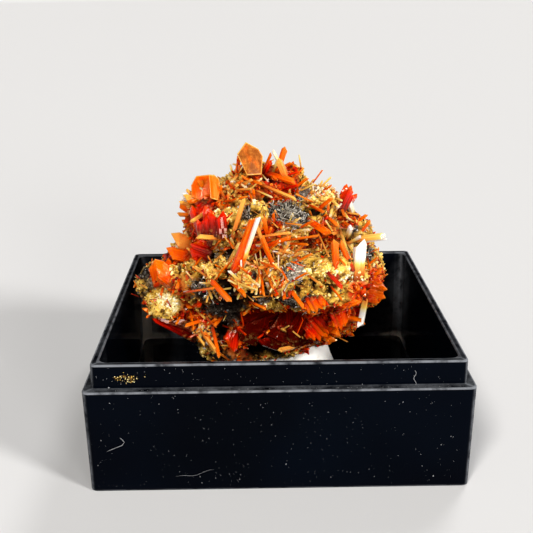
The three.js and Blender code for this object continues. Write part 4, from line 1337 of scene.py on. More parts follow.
# The thin crystals that lie among them.
NEEDLES = {
    "crown_needles": [
        (0.65, 9.5, 1.15, 10.75, 0.3, 0.5, Y), (-0.45, 8.15, 3.05, 6.65, 0.4, 1.5, S),
        (-2.57, 8.05, -1.35, 8.75, 0.4, 1.2, S), (-3.9, 8.35, -2.85, 8.1, 0.35, 1.0, S),
        (-3.85, 7.65, -2.35, 8.65, 0.3, 1.1, O), (-3.45, 9.05, -2.05, 7.85, 0.25, 1.2, Y),
        (-2.25, 8.85, -0.45, 8.25, 0.3, 1.3, O), (-3.05, 7.65, -1.45, 7.75, 0.3, 1.3, S),
        (-1.65, 7.65, -0.45, 8.85, 0.25, 1.2, Y), (-1.05, 8.05, -2.55, 9.15, 0.3, 1.0, O),
        (-3.6, 6.45, -2.75, 6.75, 0.3, 1.0, S), (-1.85, 7.55, -1.3, 6.45, 0.25, 1.3, O),
        (-0.2, 9.8, 0.5, 11.4, 0.35, 0.4, O), (1.6, 9.9, 2.6, 10.4, 0.35, 0.5, O),
        (1.9, 9.1, 3.3, 9.5, 0.3, 0.8, R), (2.5, 8.8, 3.7, 9.8, 0.25, 0.6, O),
        (3.0, 8.0, 4.2, 8.9, 0.3, 0.7, O), (-0.2, 9.3, 0.5, 10.6, 0.45, 0.7, R),
        (1.5, 7.6, 3.2, 8.2, 0.3, 1.0, R), (-4.4, 8.0, -3.3, 9.0, 0.3, 0.6, O),
        (-0.8, 7.5, 0.6, 6.9, 0.25, 1.3, Y), (3.4, 7.6, 4.9, 8.3, 0.25, 0.8, Y),
    ],
    "left_needles": [
        (-6.35, 3.4, -6.95, 4.5, 0.35, 1.2, O), (-5.85, 5.25, -5.3, 6.4, 0.3, 1.3, R),
        (-7.68, 2.7, -8.1, 3.6, 0.2, 0.9, Y), (-9.75, 0.85, -9.05, 1.5, 0.35, 0.8, R),
        (-8.05, 0.45, -9.0, -2.3, 0.4, 1.0, O), (-7.2, 1.2, -6.2, 2.4, 0.25, 1.0, O),
        (-7.8, 2.2, -8.8, 3.1, 0.3, 0.8, O), (-6.9, 0.9, -8.0, 1.9, 0.25, 1.0, S),
        (-8.0, -2.55, -5.25, -2.15, 0.32, 1.2, O), (-6.2, 1.3, -7.4, -0.2, 0.25, 1.1, O),
        (-6.0, 6.9, -6.6, 7.9, 0.3, 1.1, Y), (-6.4, 6.6, -8.1, 7.7, 0.35, 0.7, S),
        (-4.9, 6.9, -4.4, 8.2, 0.35, 0.8, O), (-5.6, 1.6, -4.6, 2.6, 0.25, 1.1, O),
        (-7.6, 6.6, -8.4, 7.35, 0.42, 1.2, W), (-7.4, 6.9, -8.0, 7.7, 0.38, 1.2, S),
        (-7.2, 7.0, -7.3, 7.9, 0.35, 1.5, Y), (-7.7, 6.4, -8.7, 6.5, 0.42, 1.0, S),
        (-7.3, 6.5, -8.0, 5.9, 0.38, 1.2, S), (-6.9, 6.9, -6.5, 7.6, 0.3, 1.9, Y),
        (-7.9, 6.9, -8.6, 6.9, 0.32, 1.2, W), (-6.9, 6.2, -7.5, 6.9, 0.32, 1.6, Y),
    ],
    "foot_needles": [
        (-6.35, -5.35, -8.25, -5.95, 0.42, 1.0, O), (-7.65, -4.25, -7.3, -6.45, 0.3, 0.9, O),
        (-8.55, -4.85, -9.1, -5.85, 0.28, 0.7, O), (-7.7, -4.05, -6.6, -3.8, 0.5, 0.8, R),
        (-7.15, -6.6, -6.15, -7.95, 0.3, 0.7, S), (-6.45, -7.15, -5.65, -6.65, 0.35, 0.7, S),
        (-6.05, -7.85, -5.25, -7.15, 0.35, 0.6, Y), (-5.65, -8.55, -4.85, -7.85, 0.35, 0.6, S),
        (-5.35, -7.35, -6.25, -6.65, 0.3, 0.8, O), (1.05, -5.65, -0.05, -6.7, 0.28, 1.3, O),
        (1.1, -6.6, 2.3, -5.9, 0.15, 1.6, S), (1.9, -5.9, 3.4, -7.1, 0.17, 1.6, S),
        (-3.1, -5.9, -2.0, -6.9, 0.2, 1.0, R), (-5.9, -5.9, -5.0, -5.2, 0.3, 0.9, O),
        (-4.6, -5.2, -5.3, -6.0, 0.4, 0.8, O), (0.2, -6.4, -0.9, -7.2, 0.25, 1.1, R),
    ],
    "front_needles": [
        (-1.65, -4.35, -2.45, -4.85, 0.35, 1.0, O), (-1.25, -3.75, -0.05, -4.25, 0.4, 1.0, O),
        (-0.6, -0.45, -0.77, -2.15, 0.3, 1.2, Y), (-0.3, 0.05, 0.72, -2.3, 0.2, 1.3, O),
        (-0.6, -1.9, -0.48, -2.8, 0.45, 1.0, O), (-0.43, 0.18, 0.1, -0.8, 0.2, 1.2, O),
        (-1.35, 0.65, 1.0, -0.15, 0.25, 1.4, O), (0.72, -0.35, 0.2, -1.0, 0.2, 1.1, Y),
        (-2.4, -1.4, -1.05, -2.45, 0.2, 1.0, O), (-4.3, 1.4, -5.3, 0.4, 0.2, 1.0, S),
        (-1.6, -0.9, -2.8, 0.1, 0.22, 1.1, O), (0.4, -1.6, 1.2, -2.9, 0.22, 1.0, R),
        (1.1, -1.2, 0.3, -2.6, 0.2, 1.1, Y), (-0.9, -1.2, -1.5, -2.7, 0.25, 1.1, S),
        (-4.1, -0.2, -3.2, 1.0, 0.22, 1.1, O), (-5.0, -1.2, -4.0, 0.2, 0.22, 1.0, O),
        (2.6, -1.4, 4.1, -0.6, 0.22, 1.1, O), (4.3, -1.0, 5.6, -1.9, 0.25, 1.0, S),
        (3.0, 0.5, 4.6, 1.3, 0.22, 1.1, O), (5.2, -2.7, 6.2, -4.0, 0.3, 0.9, R),
        (6.6, -2.2, 7.6, -3.4, 0.25, 0.9, O), (-2.6, -2.0, -3.9, -1.3, 0.2, 1.0, Y),
        (-0.37, 0.56, 0.66, -2.2, 0.24, 1.5, O), (-0.85, -0.9, -1.06, -2.9, 0.24, 1.4, Y),
        (-0.5, -0.9, -0.25, -3.0, 0.26, 1.4, O), (-3.3, -1.5, -0.9, -2.4, 0.22, 1.2, Y),
        (0.1, -0.1, 0.9, -1.9, 0.2, 1.5, Y), (-0.9, 0.3, -0.6, -1.2, 0.22, 1.3, O),
        (1.4, -0.2, 2.2, -1.6, 0.22, 1.2, O),
    ],
    "right_needles": [
        (7.9, 5.4, 9.3, 5.2, 0.2, 0.6, S), (8.7, 5.1, 8.05, 7.1, 0.62, 1.8, W),
        (9.6, 2.4, 12.1, 2.8, 0.3, 0.7, W), (6.25, 7.0, 7.28, 5.92, 0.35, 0.8, Y),
        (6.6, 6.0, 6.35, 4.9, 0.3, 0.9, Y), (7.7, 5.5, 8.2, 4.7, 0.3, 0.8, Y),
        (7.4, 3.6, 8.3, 0.95, 0.3, 1.3, Y), (8.1, 2.25, 9.5, 3.05, 0.35, 1.2, W),
        (8.1, 2.25, 9.0, 1.05, 0.3, 1.2, Y), (10.6, 2.2, 11.3, 1.05, 0.2, 0.5, Y),
        (8.2, 3.25, 8.5, 4.1, 0.55, 0.9, W), (4.15, 3.45, 4.0, 2.65, 0.18, 1.0, Y),
        (5.1, 3.5, 6.3, 0.9, 0.18, 1.3, S), (5.4, 5.9, 6.6, 6.9, 0.4, 0.9, O),
        (6.0, 5.0, 7.2, 4.0, 0.45, 0.9, O), (6.7, 3.4, 5.9, 4.6, 0.25, 1.1, Y),
        (7.6, 4.6, 8.6, 3.7, 0.35, 0.8, O), (9.6, 3.6, 10.4, 4.6, 0.35, 0.4, O),
        (9.2, 4.6, 10.1, 5.2, 0.35, 0.4, O), (4.6, 6.0, 5.8, 5.4, 0.3, 1.0, O),
        (7.0, 1.1, 7.9, 0.1, 0.25, 1.1, O), (10.2, 0.2, 11.2, 1.0, 0.3, 0.5, O),
        (10.5, -1.0, 11.6, -0.4, 0.35, 0.5, O), (10.7, -2.1, 12.0, -2.2, 0.4, 0.4, O),
        (10.0, -2.9, 11.2, -3.2, 0.4, 0.4, O),
    ],
    "centre_needles": [
        (-2.55, -0.2, -0.75, 5.05, 0.42, 1.9, W, 24, 0.9), (-2.3, 0.4, -1.1, 3.7, 0.26, 2.0, Y, 20, 0.9),
        (-0.7, 1.8, -0.55, 0.65, 0.2, 1.3, Y), (1.2, 2.95, 1.75, 4.05, 0.22, 1.3, Y),
        (2.25, 3.45, 3.05, 2.9, 0.2, 1.3, Y), (2.35, 2.65, 5.15, 3.05, 0.2, 1.5, S),
        (2.1, 2.3, 4.2, 2.2, 0.25, 1.4, O), (-0.9, 2.7, -0.45, 4.5, 0.25, 1.3, S),
        (0.0, 2.6, 0.5, 3.9, 0.3, 1.2, O), (0.6, 3.2, 1.9, 3.7, 0.25, 1.3, Y),
        (-4.0, 2.9, -3.2, 1.7, 0.25, 1.0, O), (-3.0, 1.5, -3.6, 2.9, 0.25, 1.2, Y),
        (-1.4, 1.0, -0.2, 2.4, 0.22, 1.4, O), (1.0, 1.6, 2.5, 1.3, 0.25, 1.3, S),
        (-2.1, 2.6, -2.9, 3.6, 0.22, 1.3, S), (-0.2, 1.3, 1.4, 2.6, 0.22, 1.4, O),
        (3.4, 3.9, 4.7, 4.6, 0.25, 1.1, O), (2.4, 4.1, 3.4, 4.9, 0.2, 1.2, Y),
        (-1.7, 2.85, 2.4, 3.4, 0.26, 1.6, S), (0.4, 2.4, 5.3, 3.1, 0.24, 1.6, O),
        (-4.4, 6.4, -1.9, 7.0, 0.26, 1.2, O), (-4.6, 3.6, -3.8, 2.4, 0.2, 1.1, S),
        (-1.9, 3.6, -1.5, 4.8, 0.2, 1.2, Y),
    ],
}


@dataclass(frozen=True)
class Slab:
    """A broad crystal of the best face, or a bundle of parallel ones, by its outline as sights.

    lift is how far its face stands before the rock behind its root, thick its depth, and lean how fast
    the face goes back towards the right and the top. grain is the way it grew, in degrees from the right,
    and strip the width of each crystal of a bundle; with none it is one crystal.
    """

    root: Pair
    outline: tuple[Pair, ...]
    lift: float
    thick: float
    hue: float
    lean: Pair
    grain: float
    strip: float = 0.0
    grime: float = 0.0


# The broad ones among them, as the numbers of Slab.
SLABS = {
    "crown": [
        ((-1.2, 8.7), ((-1.95, 9.1), (-2.95, 11.25), (-2.08, 12.45), (-0.79, 11.75), (-0.35, 11.0),
         (-0.5, 9.2)), 0.5, 0.9, 0.43, (0.15, 0.1), 105, 0.0, 0.9),
    ],
    "upper_left": [
        ((-5.6, 7.2), ((-7.5, 7.0), (-7.55, 8.1), (-7.05, 9.05), (-5.65, 9.2), (-5.3, 7.9), (-5.4, 6.7),
         (-6.6, 6.5)), 1.1, 1.3, 0.32, (-0.25, 0.35), 100),
        ((-5.0, 7.2), ((-5.6, 6.8), (-5.75, 9.2), (-5.2, 9.15), (-4.75, 8.75), (-4.6, 7.9), (-4.9, 6.6)), 1.3,
         1.0, 0.42, (0.2, 0.3), 96),
        ((-5.4, 5.6), ((-7.5, 5.95), (-6.7, 6.5), (-5.2, 6.55), (-5.1, 5.95), (-6.9, 4.8)), 1.0, 1.0, 0.2,
         (-0.3, 0.2), 215, 0.9),
        ((-5.2, 4.2), ((-6.9, 4.6), (-5.1, 5.75), (-4.3, 5.5), (-4.3, 2.9), (-6.2, 2.85), (-6.9, 3.8)), 0.8,
         1.1, 0.19, (-0.2, 0.1), 96, 0.7),
        ((-5.9, 1.7), ((-7.6, 2.6), (-6.3, 2.8), (-5.2, 1.9), (-5.5, 0.7), (-7.0, 0.3), (-7.9, 1.2)), 0.7,
         0.9, 0.24, (-0.3, 0.3), 160, 0.6),
    ],
    "left_step": [
        ((-10.3, -0.6), ((-11.75, 0.7), (-10.85, 0.45), (-10.15, 0.8), (-9.55, 0.45), (-9.45, -0.85),
         (-10.05, -2.2), (-10.95, -2.0), (-11.45, -0.85)), 0.7, 1.2, 0.36, (-0.25, 0.25), 105, 0.8),
    ],
    "foot": [
        ((-7.4, -5.9), ((-11.7, -4.35), (-9.65, -4.6), (-7.45, -5.5), (-6.35, -6.6), (-7.05, -7.2),
         (-9.05, -6.3), (-10.85, -5.4)), 0.5, 0.8, 0.14, (0.0, -0.3), 152, 0.8),
        ((-0.6, -4.6), ((-2.65, -4.6), (-0.45, -3.5), (1.7, -3.7), (1.3, -5.2), (-0.85, -6.0), (-2.35, -6.0)),
         0.4, 1.0, 0.0, (0.1, -0.4), 25),
        ((2.5, -4.8), ((1.4, -3.8), (3.3, -3.8), (3.7, -5.4), (3.1, -6.8), (1.6, -6.4), (1.2, -5.2)), 0.5,
         1.0, 0.02, (-0.2, -0.3), 95),
        ((1.0, -6.6), ((-0.85, -6.2), (1.5, -5.4), (3.3, -7.1), (1.8, -7.9), (-0.45, -7.6)), 0.7, 1.0, 0.04,
         (0.2, -0.35), 158, 1.0),
        ((-3.1, -7.2), ((-4.2, -6.95), (-3.45, -6.35), (-2.25, -6.75), (-2.05, -7.8), (-3.2, -8.3),
         (-4.0, -7.9)), 0.8, 1.0, 0.3, (-0.1, -0.2), 250, 0.55),
    ],
    "lower_right": [
        ((5.3, -5.6), ((3.75, -5.6), (5.1, -4.1), (6.6, -4.5), (6.9, -6.1), (5.5, -7.5), (4.15, -7.2)), 1.4,
         1.3, 0.28, (0.1, -0.1), 312, 0.42),
        ((7.3, -4.9), ((6.35, -4.0), (8.0, -3.6), (8.6, -4.9), (7.8, -6.4), (6.5, -6.2)), 1.5, 1.2, 0.32,
         (0.4, -0.1), 292, 0.38),
        ((8.7, -4.6), ((8.2, -4.0), (9.9, -4.5), (9.5, -5.3), (8.2, -5.5)), 1.0, 0.9, 0.3, (0.4, 0.0), 345,
         0.42),
        ((4.7, -3.7), ((3.85, -3.2), (5.3, -2.9), (6.0, -4.1), (4.75, -4.8), (3.65, -4.35)), 1.2, 1.0, 0.36,
         (0.1, -0.2), 300, 0.34),
    ],
    "right": [
        ((4.4, 3.3), ((3.15, 2.85), (3.75, 4.2), (4.95, 4.4), (5.5, 3.05), (4.5, 2.3)), 0.5, 0.8, 0.15,
         (0.1, 0.1), 110, 0.9),
        ((10.6, -2.4), ((9.6, -1.6), (10.7, -1.0), (12.0, -1.8), (11.9, -3.1), (10.7, -3.6), (9.75, -3.0)),
         0.8, 1.1, 0.36, (0.5, 0.0), 345, 0.6, 0.3),
        ((7.9, 6.9), ((7.5, 7.55), (8.1, 8.05), (8.8, 7.8), (8.9, 6.85), (8.1, 6.35), (7.55, 6.6)), 0.7, 1.0,
         0.3, (0.4, 0.3), 60, 0.6, 0.1),
    ],
    "centre": [
        ((0.2, 1.6), ((-1.1, 0.5), (-0.5, 2.6), (0.9, 2.8), (1.5, 1.65), (0.3, 0.5)), 0.3, 0.7, 0.1,
         (0.0, 0.2), 70, 0.8),
    ],
}

# Round the sides and back, places are (bearing, height) in degrees from the rock's heart: a bearing
# runs from +X towards +Y. A spray is (bearing, height, length, width, lean).
SPRAYS = {
    "back": [
        (64, 14, 2.8, 0.7, 10), (84, 34, 2.4, 0.6, -15), (98, 4, 3.0, 0.8, 12),
        (122, -10, 2.6, 0.7, -12), (138, 16, 2.8, 0.7, 8), (108, 52, 2.4, 0.55, -10),
    ],
    "right_side": [(24, 16, 2.4, 0.6, -14), (34, 4, 2.6, 0.7, 12), (40, 42, 2.2, 0.55, -10)],
    "left_side": [
        (156, 24, 2.4, 0.6, -34), (164, -8, 2.4, 0.6, 14), (168, 36, 2.2, 0.55, -42), (142, 46, 2.0, 0.5, -20),
    ],
}
# A prism that lies along the rock is (from bearing, from height, to bearing, to height, width, lift).
LYING = {
    "back": [
        (104, 8, 84, 24, 0.9, 1.2), (118, 36, 100, 40, 0.8, 1.0), (128, 0, 142, -12, 0.8, 1.0),
        (72, -4, 56, -14, 0.8, 1.1),
    ],
    "right_side": [(24, 30, 38, 22, 0.7, 1.0)],
}
# A spray's three crystals: which side each leans to, and its size.
FAN = ((0, 1.0), (1, 0.72), (-1, 0.6))


@dataclass(frozen=True)
class Cut:
    """How finely a kind of crystal is shaped."""

    strips: int  # strips on each wide face; with none the section is a lozenge
    steps: int  # growth steps along the prism
    flute: float  # how much the strips differ in height, as a share of the half width


STOUT = Cut(strips=3, steps=4, flute=0.05)
SLENDER = Cut(strips=1, steps=2, flute=0.05)
SMALL = Cut(strips=1, steps=1, flute=0.05)
HAIR = Cut(strips=0, steps=0, flute=0.0)
CORNER_CUT = 0.24  # a prism's narrow face, as a share of the smaller half width
ROOT_SCALE, GROWTH = 0.92, 0.08  # its section at the root, and what it gains up to the shoulder
STEP_SPAN = (0.12, 0.92)  # where on the shank its growth steps lie
STEP_RAGGED = 0.02  # how far a step wanders from strip to strip
STEP_HEIGHT = 0.006  # how much of the shank a step takes up
POINT = (0.45, 0.3)  # the pointed end's length, as a share of the width, and at most of the length
POINT_SCALE = 0.62  # the section at the tip
SHEAR = (0.5, 1.2)  # how steeply the shoulder and the tip are cut
GLARE_FROM = 0.9  # hues above this are crystals painted white as glare
SHADE_REACH = 0.9  # how far up from its root a crystal is painted darker as shade
PATTERN_SHIFT = 50.0  # how far apart two crystals' patterns may lie
# A slab's rings from back to front: (share of the outline, depth as a share of the thickness, hue's shift,
# "grow", "clear"). The hue's shift paints the rim of the face paler as a highlight, and a low "clear" paints
# the back darker as shade.
SLAB_RINGS = (
    (0.70, 1.00, -0.05, 0.1, 0.2), (1.00, 0.60, 0.00, 0.4, 0.8), (1.00, 0.14, 0.25, 0.7, 1.0),
    (0.96, 0.02, 0.30, 0.7, 1.0), (0.90, 0.00, 0.02, 0.7, 1.0), (0.03, -0.06, 0.00, 0.7, 1.0),
)


@dataclass
class Prisms:
    """Many crystals as arrays: root and tip are (n, 3), the rest (n,)."""

    root: Array
    tip: Array
    width: Array
    flat: Array
    turn: Array
    hue: Array
    grime: Array
    shade_reach: Array  # how far up from its root it is painted darker as shade

    def outline(self, cut: Cut) -> tuple[Array, Array]:
        """The section's corners (n, around): a box with its corners cut, or a lozenge."""
        a = (self.width / 2.0)[:, None]
        b = a * self.flat[:, None]
        if cut.strips == 0:
            return a * [1.0, 0.2, -1.0, -0.2], b * [-0.2, 1.0, 0.2, -1.0]
        c = CORNER_CUT * b
        x = np.concatenate([a, a, a - c, c - a, -a, -a, c - a, a - c], axis=1)
        y = np.concatenate([c - b, b - c, b, b, b - c, c - b, -b, -b], axis=1)
        share = np.arange(cut.strips) / cut.strips
        along = [
            np.concatenate([v[:, k, None] * (1 - share) + v[:, k + 1, None] * share, v[:, k + 1, None]], axis=1)
            for v in (x, y)
            for k in (0, 2, 4, 6)
        ]
        return np.concatenate(along[:4], axis=1), np.concatenate(along[4:], axis=1)

    def rings(self, cut: Cut, slope: Array, rng: Random) -> tuple[Array, Array]:
        """How far along each prism its rings' points lie, and how large its section is there.

        The section grows from the root to the shoulder in uneven steps, where every strip has a height of
        its own. Past the shoulder each ring is sheared along the axis by slope (n, around), and shrinks.
        """
        count, around = slope.shape
        length = np.linalg.norm(self.tip - self.root, axis=1)
        shank = (length - np.minimum(POINT[0] * self.width, POINT[1] * length))[:, None]
        start = np.sort(rng.uniform(*STEP_SPAN, (count, cut.steps)), axis=1)
        height = 1.0 - cut.flute * 2.0 * rng.uniform(size=(count, cut.steps + 1, around))
        made = [(np.zeros((count, around)), ROOT_SCALE * height[:, 0])]
        for k in range(cut.steps):
            place = start[:, k, None] + rng.uniform(-STEP_RAGGED, STEP_RAGGED, (count, around))
            grown = ROOT_SCALE + GROWTH * place
            made.append((place * shank, grown * height[:, k]))
            made.append(((place + STEP_HEIGHT) * shank, grown * height[:, k + 1]))
        made.append((shank + SHEAR[0] * slope, height[:, -1]))
        made.append((length[:, None] + SHEAR[1] * slope, POINT_SCALE * height[:, -1]))
        along, scale = (np.stack(part, axis=1) for part in zip(*made))
        return along, scale

    def shape(self, cut: Cut, rng: Random) -> Shape:
        """Each prism as rings of its section along its axis, ending in an oblique point.

        "hue" falls towards the root, the more so the paler the crystal, and a glare crystal's lower part is
        orange, its glare a painted highlight. "grow" is the share of the length, "clear" goes from 0 at the
        root, painted dark as shade, to 1 where that shade ends, and uv runs round and along the prism in
        millimetres.
        """
        axis = self.tip - self.root
        length = np.linalg.norm(axis, axis=1)
        axis = unit(axis)
        level = unit(np.cross([0.0, -1.0, 0.0], axis) + [1e-5, 0.0, 0.0])
        angle = np.radians(self.turn)[:, None]
        across = level * np.cos(angle) + np.cross(axis, level) * np.sin(angle)
        deep = np.cross(axis, across)
        x, y = self.outline(cut)
        slope = x * np.where(np.round(self.turn) % 2 == 1, 0.5, -0.5)[:, None] + y * 0.4
        along, scale = self.rings(cut, slope - slope.max(axis=1, keepdims=True), rng)
        points = (
            self.root[:, None, None]
            + across[:, None, None] * (x[:, None] * scale)[..., None]
            + deep[:, None, None] * (y[:, None] * scale)[..., None]
            + axis[:, None, None] * along[..., None]
        )
        grow = np.clip(along / length[:, None, None], 0.0, 1.0)
        white = self.hue > GLARE_FROM
        fade = np.where(white, 0.6, 0.1 + 0.5 * np.maximum(self.hue - 0.6, 0.0))
        low = np.where(white, np.clip((0.42 - grow.T) / 0.16, 0.0, 1.0), (1.0 - grow.T) ** 1.3)
        count, around = x.shape
        reach = np.arange(around + 1) / around * 4.0 * self.width[:, None]
        u = reach[:, None] + rng.uniform(0.0, PATTERN_SHIFT, (count, 1, 1))
        v = np.concatenate([along, along[:, :, :1]], axis=2)
        values = {
            "hue": np.clip((self.hue - fade * low).T, 0.0, 1.0),
            "grow": grow,
            "grime": np.broadcast_to(self.grime[:, None, None], grow.shape),
            "clear": np.clip(along / np.minimum(self.shade_reach, 0.5 * length)[:, None, None], 0.0, 1.0),
        }
        return tube(points, values, np.stack(np.broadcast_arrays(u, v), axis=3))

    @staticmethod
    def of(rows: Sequence[tuple]) -> Prisms:
        """One set from each crystal's numbers, in the order of the fields."""
        return Prisms(*(np.array(column, float) for column in zip(*rows)))

    @staticmethod
    def joined(parts: Sequence[Prisms]) -> Prisms:
        """One set that holds them all."""
        return Prisms(*(np.concatenate(column) for column in zip(*(vars(part).values() for part in parts))))

    def only(self, keep: Array) -> Prisms:
        """The prisms where keep is true."""
        return Prisms(*(column[keep] for column in vars(self).values()))


@dataclass
class CrystalGrowth:
    """The crocoite: the CAD's crystals in full detail, the thin ones among them, and the felt all round."""

    carrier: Carrier
    skin: Skin
    heart: Triple = (-0.8, 0.4, 14.0)
    far: float = 30.0  # millimetres from the heart, outside the rock
    sink: float = 0.6  # how far a crystal's axis runs on below the rock
    spray_sink: float = 0.25
    stout: float = 0.6  # from this width up a prism shows its strips
    slim: float = 0.82  # a slender crystal's width, as a share of its solid's
    slim_below: float = 1.0
    flat: float = 0.8
    roughness: float = 0.09  # how far a slab's corners are moved back or forth
    overlap: Pair = (1.15, 1.5)  # the width of a bundle's crystals, as a share of their spacing
    twist: float = 25.0  # how far they are turned either way, degrees
    fan_turn: float = 34.0  # degrees between a spray's crystals
    fan_rise: Pair = (-18.0, 22.0)  # how much higher each next one points, in even and in odd sprays
    seed: int = 37

    def seen(self, rows: Sequence[tuple]) -> Prisms:
        """Crystals from the rock behind one sight to a point before another."""
        eye, made = self.carrier.eye, []
        for k, row in enumerate(Seen(*numbers) for numbers in rows):
            foot = self.carrier.behind((row.from_across, row.from_up))
            line = self.carrier.view.lines(np.array([[row.to_across, row.to_up]]))[0]
            under = self.carrier.meet(eye, line)
            reach = min(np.linalg.norm(p - eye) for p in (foot, under) if p is not None) - row.lift
            tip = eye + line * reach
            root = foot - unit(tip - foot) * self.sink
            width = row.width * (self.slim if row.width < self.slim_below else 1.0)
            turn = 17 + 29 * k if row.turn is None else row.turn
            made.append((root, tip, width, row.flat, turn, row.hue.value, 0.0, SHADE_REACH))
        return Prisms.of(made)

    def slab(self, row: Slab, rng: Random) -> Shape:
        """A broad crystal as rings of its outline, from its narrower back, painted darker as shade, to the edge
        of its face, painted paler as a highlight.

        A ring's point lies on the sight through centre + scale * (corner - centre), as far off as the
        rock behind the root, less the lift, plus the ring's depth and the face's lean.
        """
        corners = np.array(row.outline)
        centre = corners.mean(axis=0)
        off = corners - centre
        if (off[:, 0] * np.roll(off[:, 1], -1) - off[:, 1] * np.roll(off[:, 0], -1)).sum() < 0.0:
            off = off[::-1]
        face = self.carrier.face(row.root, row.lift)
        scales, depths, edges, grow, clear = (np.array(column) for column in zip(*SLAB_RINGS))
        jitter = rng.uniform(-self.roughness, self.roughness, (len(SLAB_RINGS), len(off)))
        rings, uv = [], []
        way, across = turned(math.radians(row.grain))
        for scale, depth, rough in zip(scales, depths, jitter):
            spot = centre + off * scale
            away = face + (depth + rough * (0.1 + depth)) * row.thick + (spot - centre) @ np.array(row.lean)
            rings.append(self.carrier.view.at(spot, away))
            flat = spot @ np.stack([-across, way], axis=1)
            flat[:, 0] += depth * row.thick
            uv.append(np.concatenate([flat, flat[:1]]))

        def level(numbers: Array) -> Array:
            """Each ring's number at all its points."""
            return np.repeat(numbers[:, None], len(off), axis=1)[None]

        values = {
            # Painted highlight along the face's rim, painted shade at the back.
            "hue": np.clip(level(row.hue + edges), 0.0, 1.0),
            "grow": level(grow),
            "clear": level(clear),
            "grime": level(row.grime * (edges < 0.2)),
        }
        return tube(np.array(rings)[None], values, np.array(uv)[None] + rng.uniform(0.0, PATTERN_SHIFT))

    def bundle(self, row: Slab, rng: Random) -> Prisms:
        """Parallel crystals side by side along the grain, each as long as the outline is there.

        A crystal's line crosses the outline's edges p + t (q - p) where its distance from the middle,
        across the grain, is the line's own; the least and the greatest of these places are its ends.
        """
        corners = np.array(row.outline)
        centre = corners.mean(axis=0)
        way, across = turned(math.radians(row.grain))
        p, q = corners - centre, np.roll(corners, -1, axis=0) - centre
        a, b = p @ across, q @ across
        span = a.max() - a.min()
        count = max(int(round(span / row.strip)), 2)
        sides = a.min() + span * (np.arange(count) + 0.5 + rng.uniform(-0.2, 0.2, count)) / count
        t = (sides[:, None] - a) / np.where(np.abs(b - a) < 1e-9, 1e-9, b - a)
        along = (p @ way) + t * ((q - p) @ way)
        crossed = (t >= 0.0) & (t <= 1.0)
        least = np.where(crossed, along, np.inf).min(axis=1)
        most = np.where(crossed, along, -np.inf).max(axis=1)
        ends = np.stack([least, most]) + rng.uniform(-0.12, 0.12, (2, count))
        spots = centre + sides[:, None] * across + ends[..., None] * way
        away = self.carrier.face(row.root, row.lift) + (spots - centre) @ np.array(row.lean)
        away = away + rng.uniform(0.0, 0.35, count) * row.thick
        away[0] += 0.35 * row.thick
        root, tip = (self.carrier.view.at(spot, far) for spot, far in zip(spots, away + 0.4 * row.thick))
        width = span / count * rng.uniform(*self.overlap, count)
        flat = np.clip(row.thick / width, 0.6, 1.1)
        hue = np.clip(row.hue + rng.uniform(-0.05, 0.05, count), 0.0, 1.0)
        turn = rng.uniform(-self.twist, self.twist, count)
        return Prisms(root, tip, width, flat, turn, hue, np.full(count, row.grime), np.full(count, 0.05))

    def outward(self, bearing: float, height: float) -> Array:
        """The way out from the rock's heart at a bearing and height."""
        b, h = math.radians(bearing), math.radians(height)
        return np.array([math.cos(h) * math.cos(b), math.cos(h) * math.sin(b), math.sin(h)])

    def skin_at(self, bearing: float, height: float) -> Array:
        """The outermost point of the rock at a bearing and height."""
        way = self.outward(bearing, height)
        return self.carrier.meet(np.array(self.heart) + self.far * way, -way)

    def spray(self, row: Sequence[float], index: int) -> list[tuple]:
        """Three crystals that fan out from one foot, as rows of Prisms."""
        bearing, height, length, width, lean = row
        foot = self.skin_at(bearing, height)
        root = foot - self.outward(bearing, height) * self.spray_sink
        rise = self.fan_rise[index % 2]
        made = []
        for side, size in FAN:
            aim = self.outward(bearing + lean + side * self.fan_turn, height + lean * 0.6 + side * rise)
            tip = foot + aim * length * size
            hue = Hue.ORANGE.value + 0.12 * side
            made.append((root, tip, width * size, self.flat, 13 * index + 20 * side, hue, 0.0, SHADE_REACH))
        return made

    def lying(self, row: Sequence[float], index: int) -> tuple:
        """A crystal along the rock, its tip lifted off the skin, as rows of Prisms."""
        from_bearing, from_height, to_bearing, to_height, width, lift = row
        foot = self.skin_at(from_bearing, from_height)
        tip = self.skin_at(to_bearing, to_height) + self.outward(to_bearing, to_height) * lift
        root = foot - unit(tip - foot) * self.sink
        return root, tip, width, self.flat, 20 + 31 * index, Hue.ORANGE.value + 0.1 * (index % 3), 0.0, SHADE_REACH

    def round_the_back(self, region: str) -> Prisms:
        """The sprays and lying prisms of one region."""
        rows = [self.lying(row, k) for k, row in enumerate(LYING.get(region, []))]
        for k, row in enumerate(SPRAYS[region]):
            rows.extend(self.spray(row, k))
        return Prisms.of(rows)

    def grow(self, name: str, prisms: Prisms, rng: Random, slabs: Sequence[tuple] = ()) -> bpy.types.Object:
        """One piece of crystals, the stout ones cut finer than the slender ones, with its broad ones."""
        broad = [Slab(*row) for row in slabs]
        bundles = [self.bundle(row, rng) for row in broad if row.strip]
        prisms = Prisms.joined([prisms, *bundles])
        stout = prisms.width >= self.stout
        shapes = [
            prisms.only(mask).shape(cut, rng) for mask, cut in ((stout, STOUT), (~stout, SLENDER)) if mask.any()
        ]
        shapes += [self.slab(row, rng) for row in broad if not row.strip]
        return Shape.joined(shapes).piece(name, Crocoite())

    def build(self, nodes: Mapping[str, bpy.types.Object]) -> None:
        """Every region in turn, then the needles, the red crust and the felt."""
        rng = np.random.default_rng(self.seed)
        regions = {name: self.seen(rows) for name, rows in FRONT.items()}
        regions.update({name: self.round_the_back(name) for name in SPRAYS})
        for region, prisms in regions.items():
            solids = [n for n in nodes if n.startswith((f"{region}_crystal_", f"{region}_cluster_"))]
            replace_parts(self.grow(f"{region}_crystals", prisms, rng, SLABS.get(region, ())), *solids)
        for name, rows in NEEDLES.items():
            self.grow(name, self.seen(rows), rng)
        for felt in FELTS:
            felt.build(self.skin, self.carrier, rng)


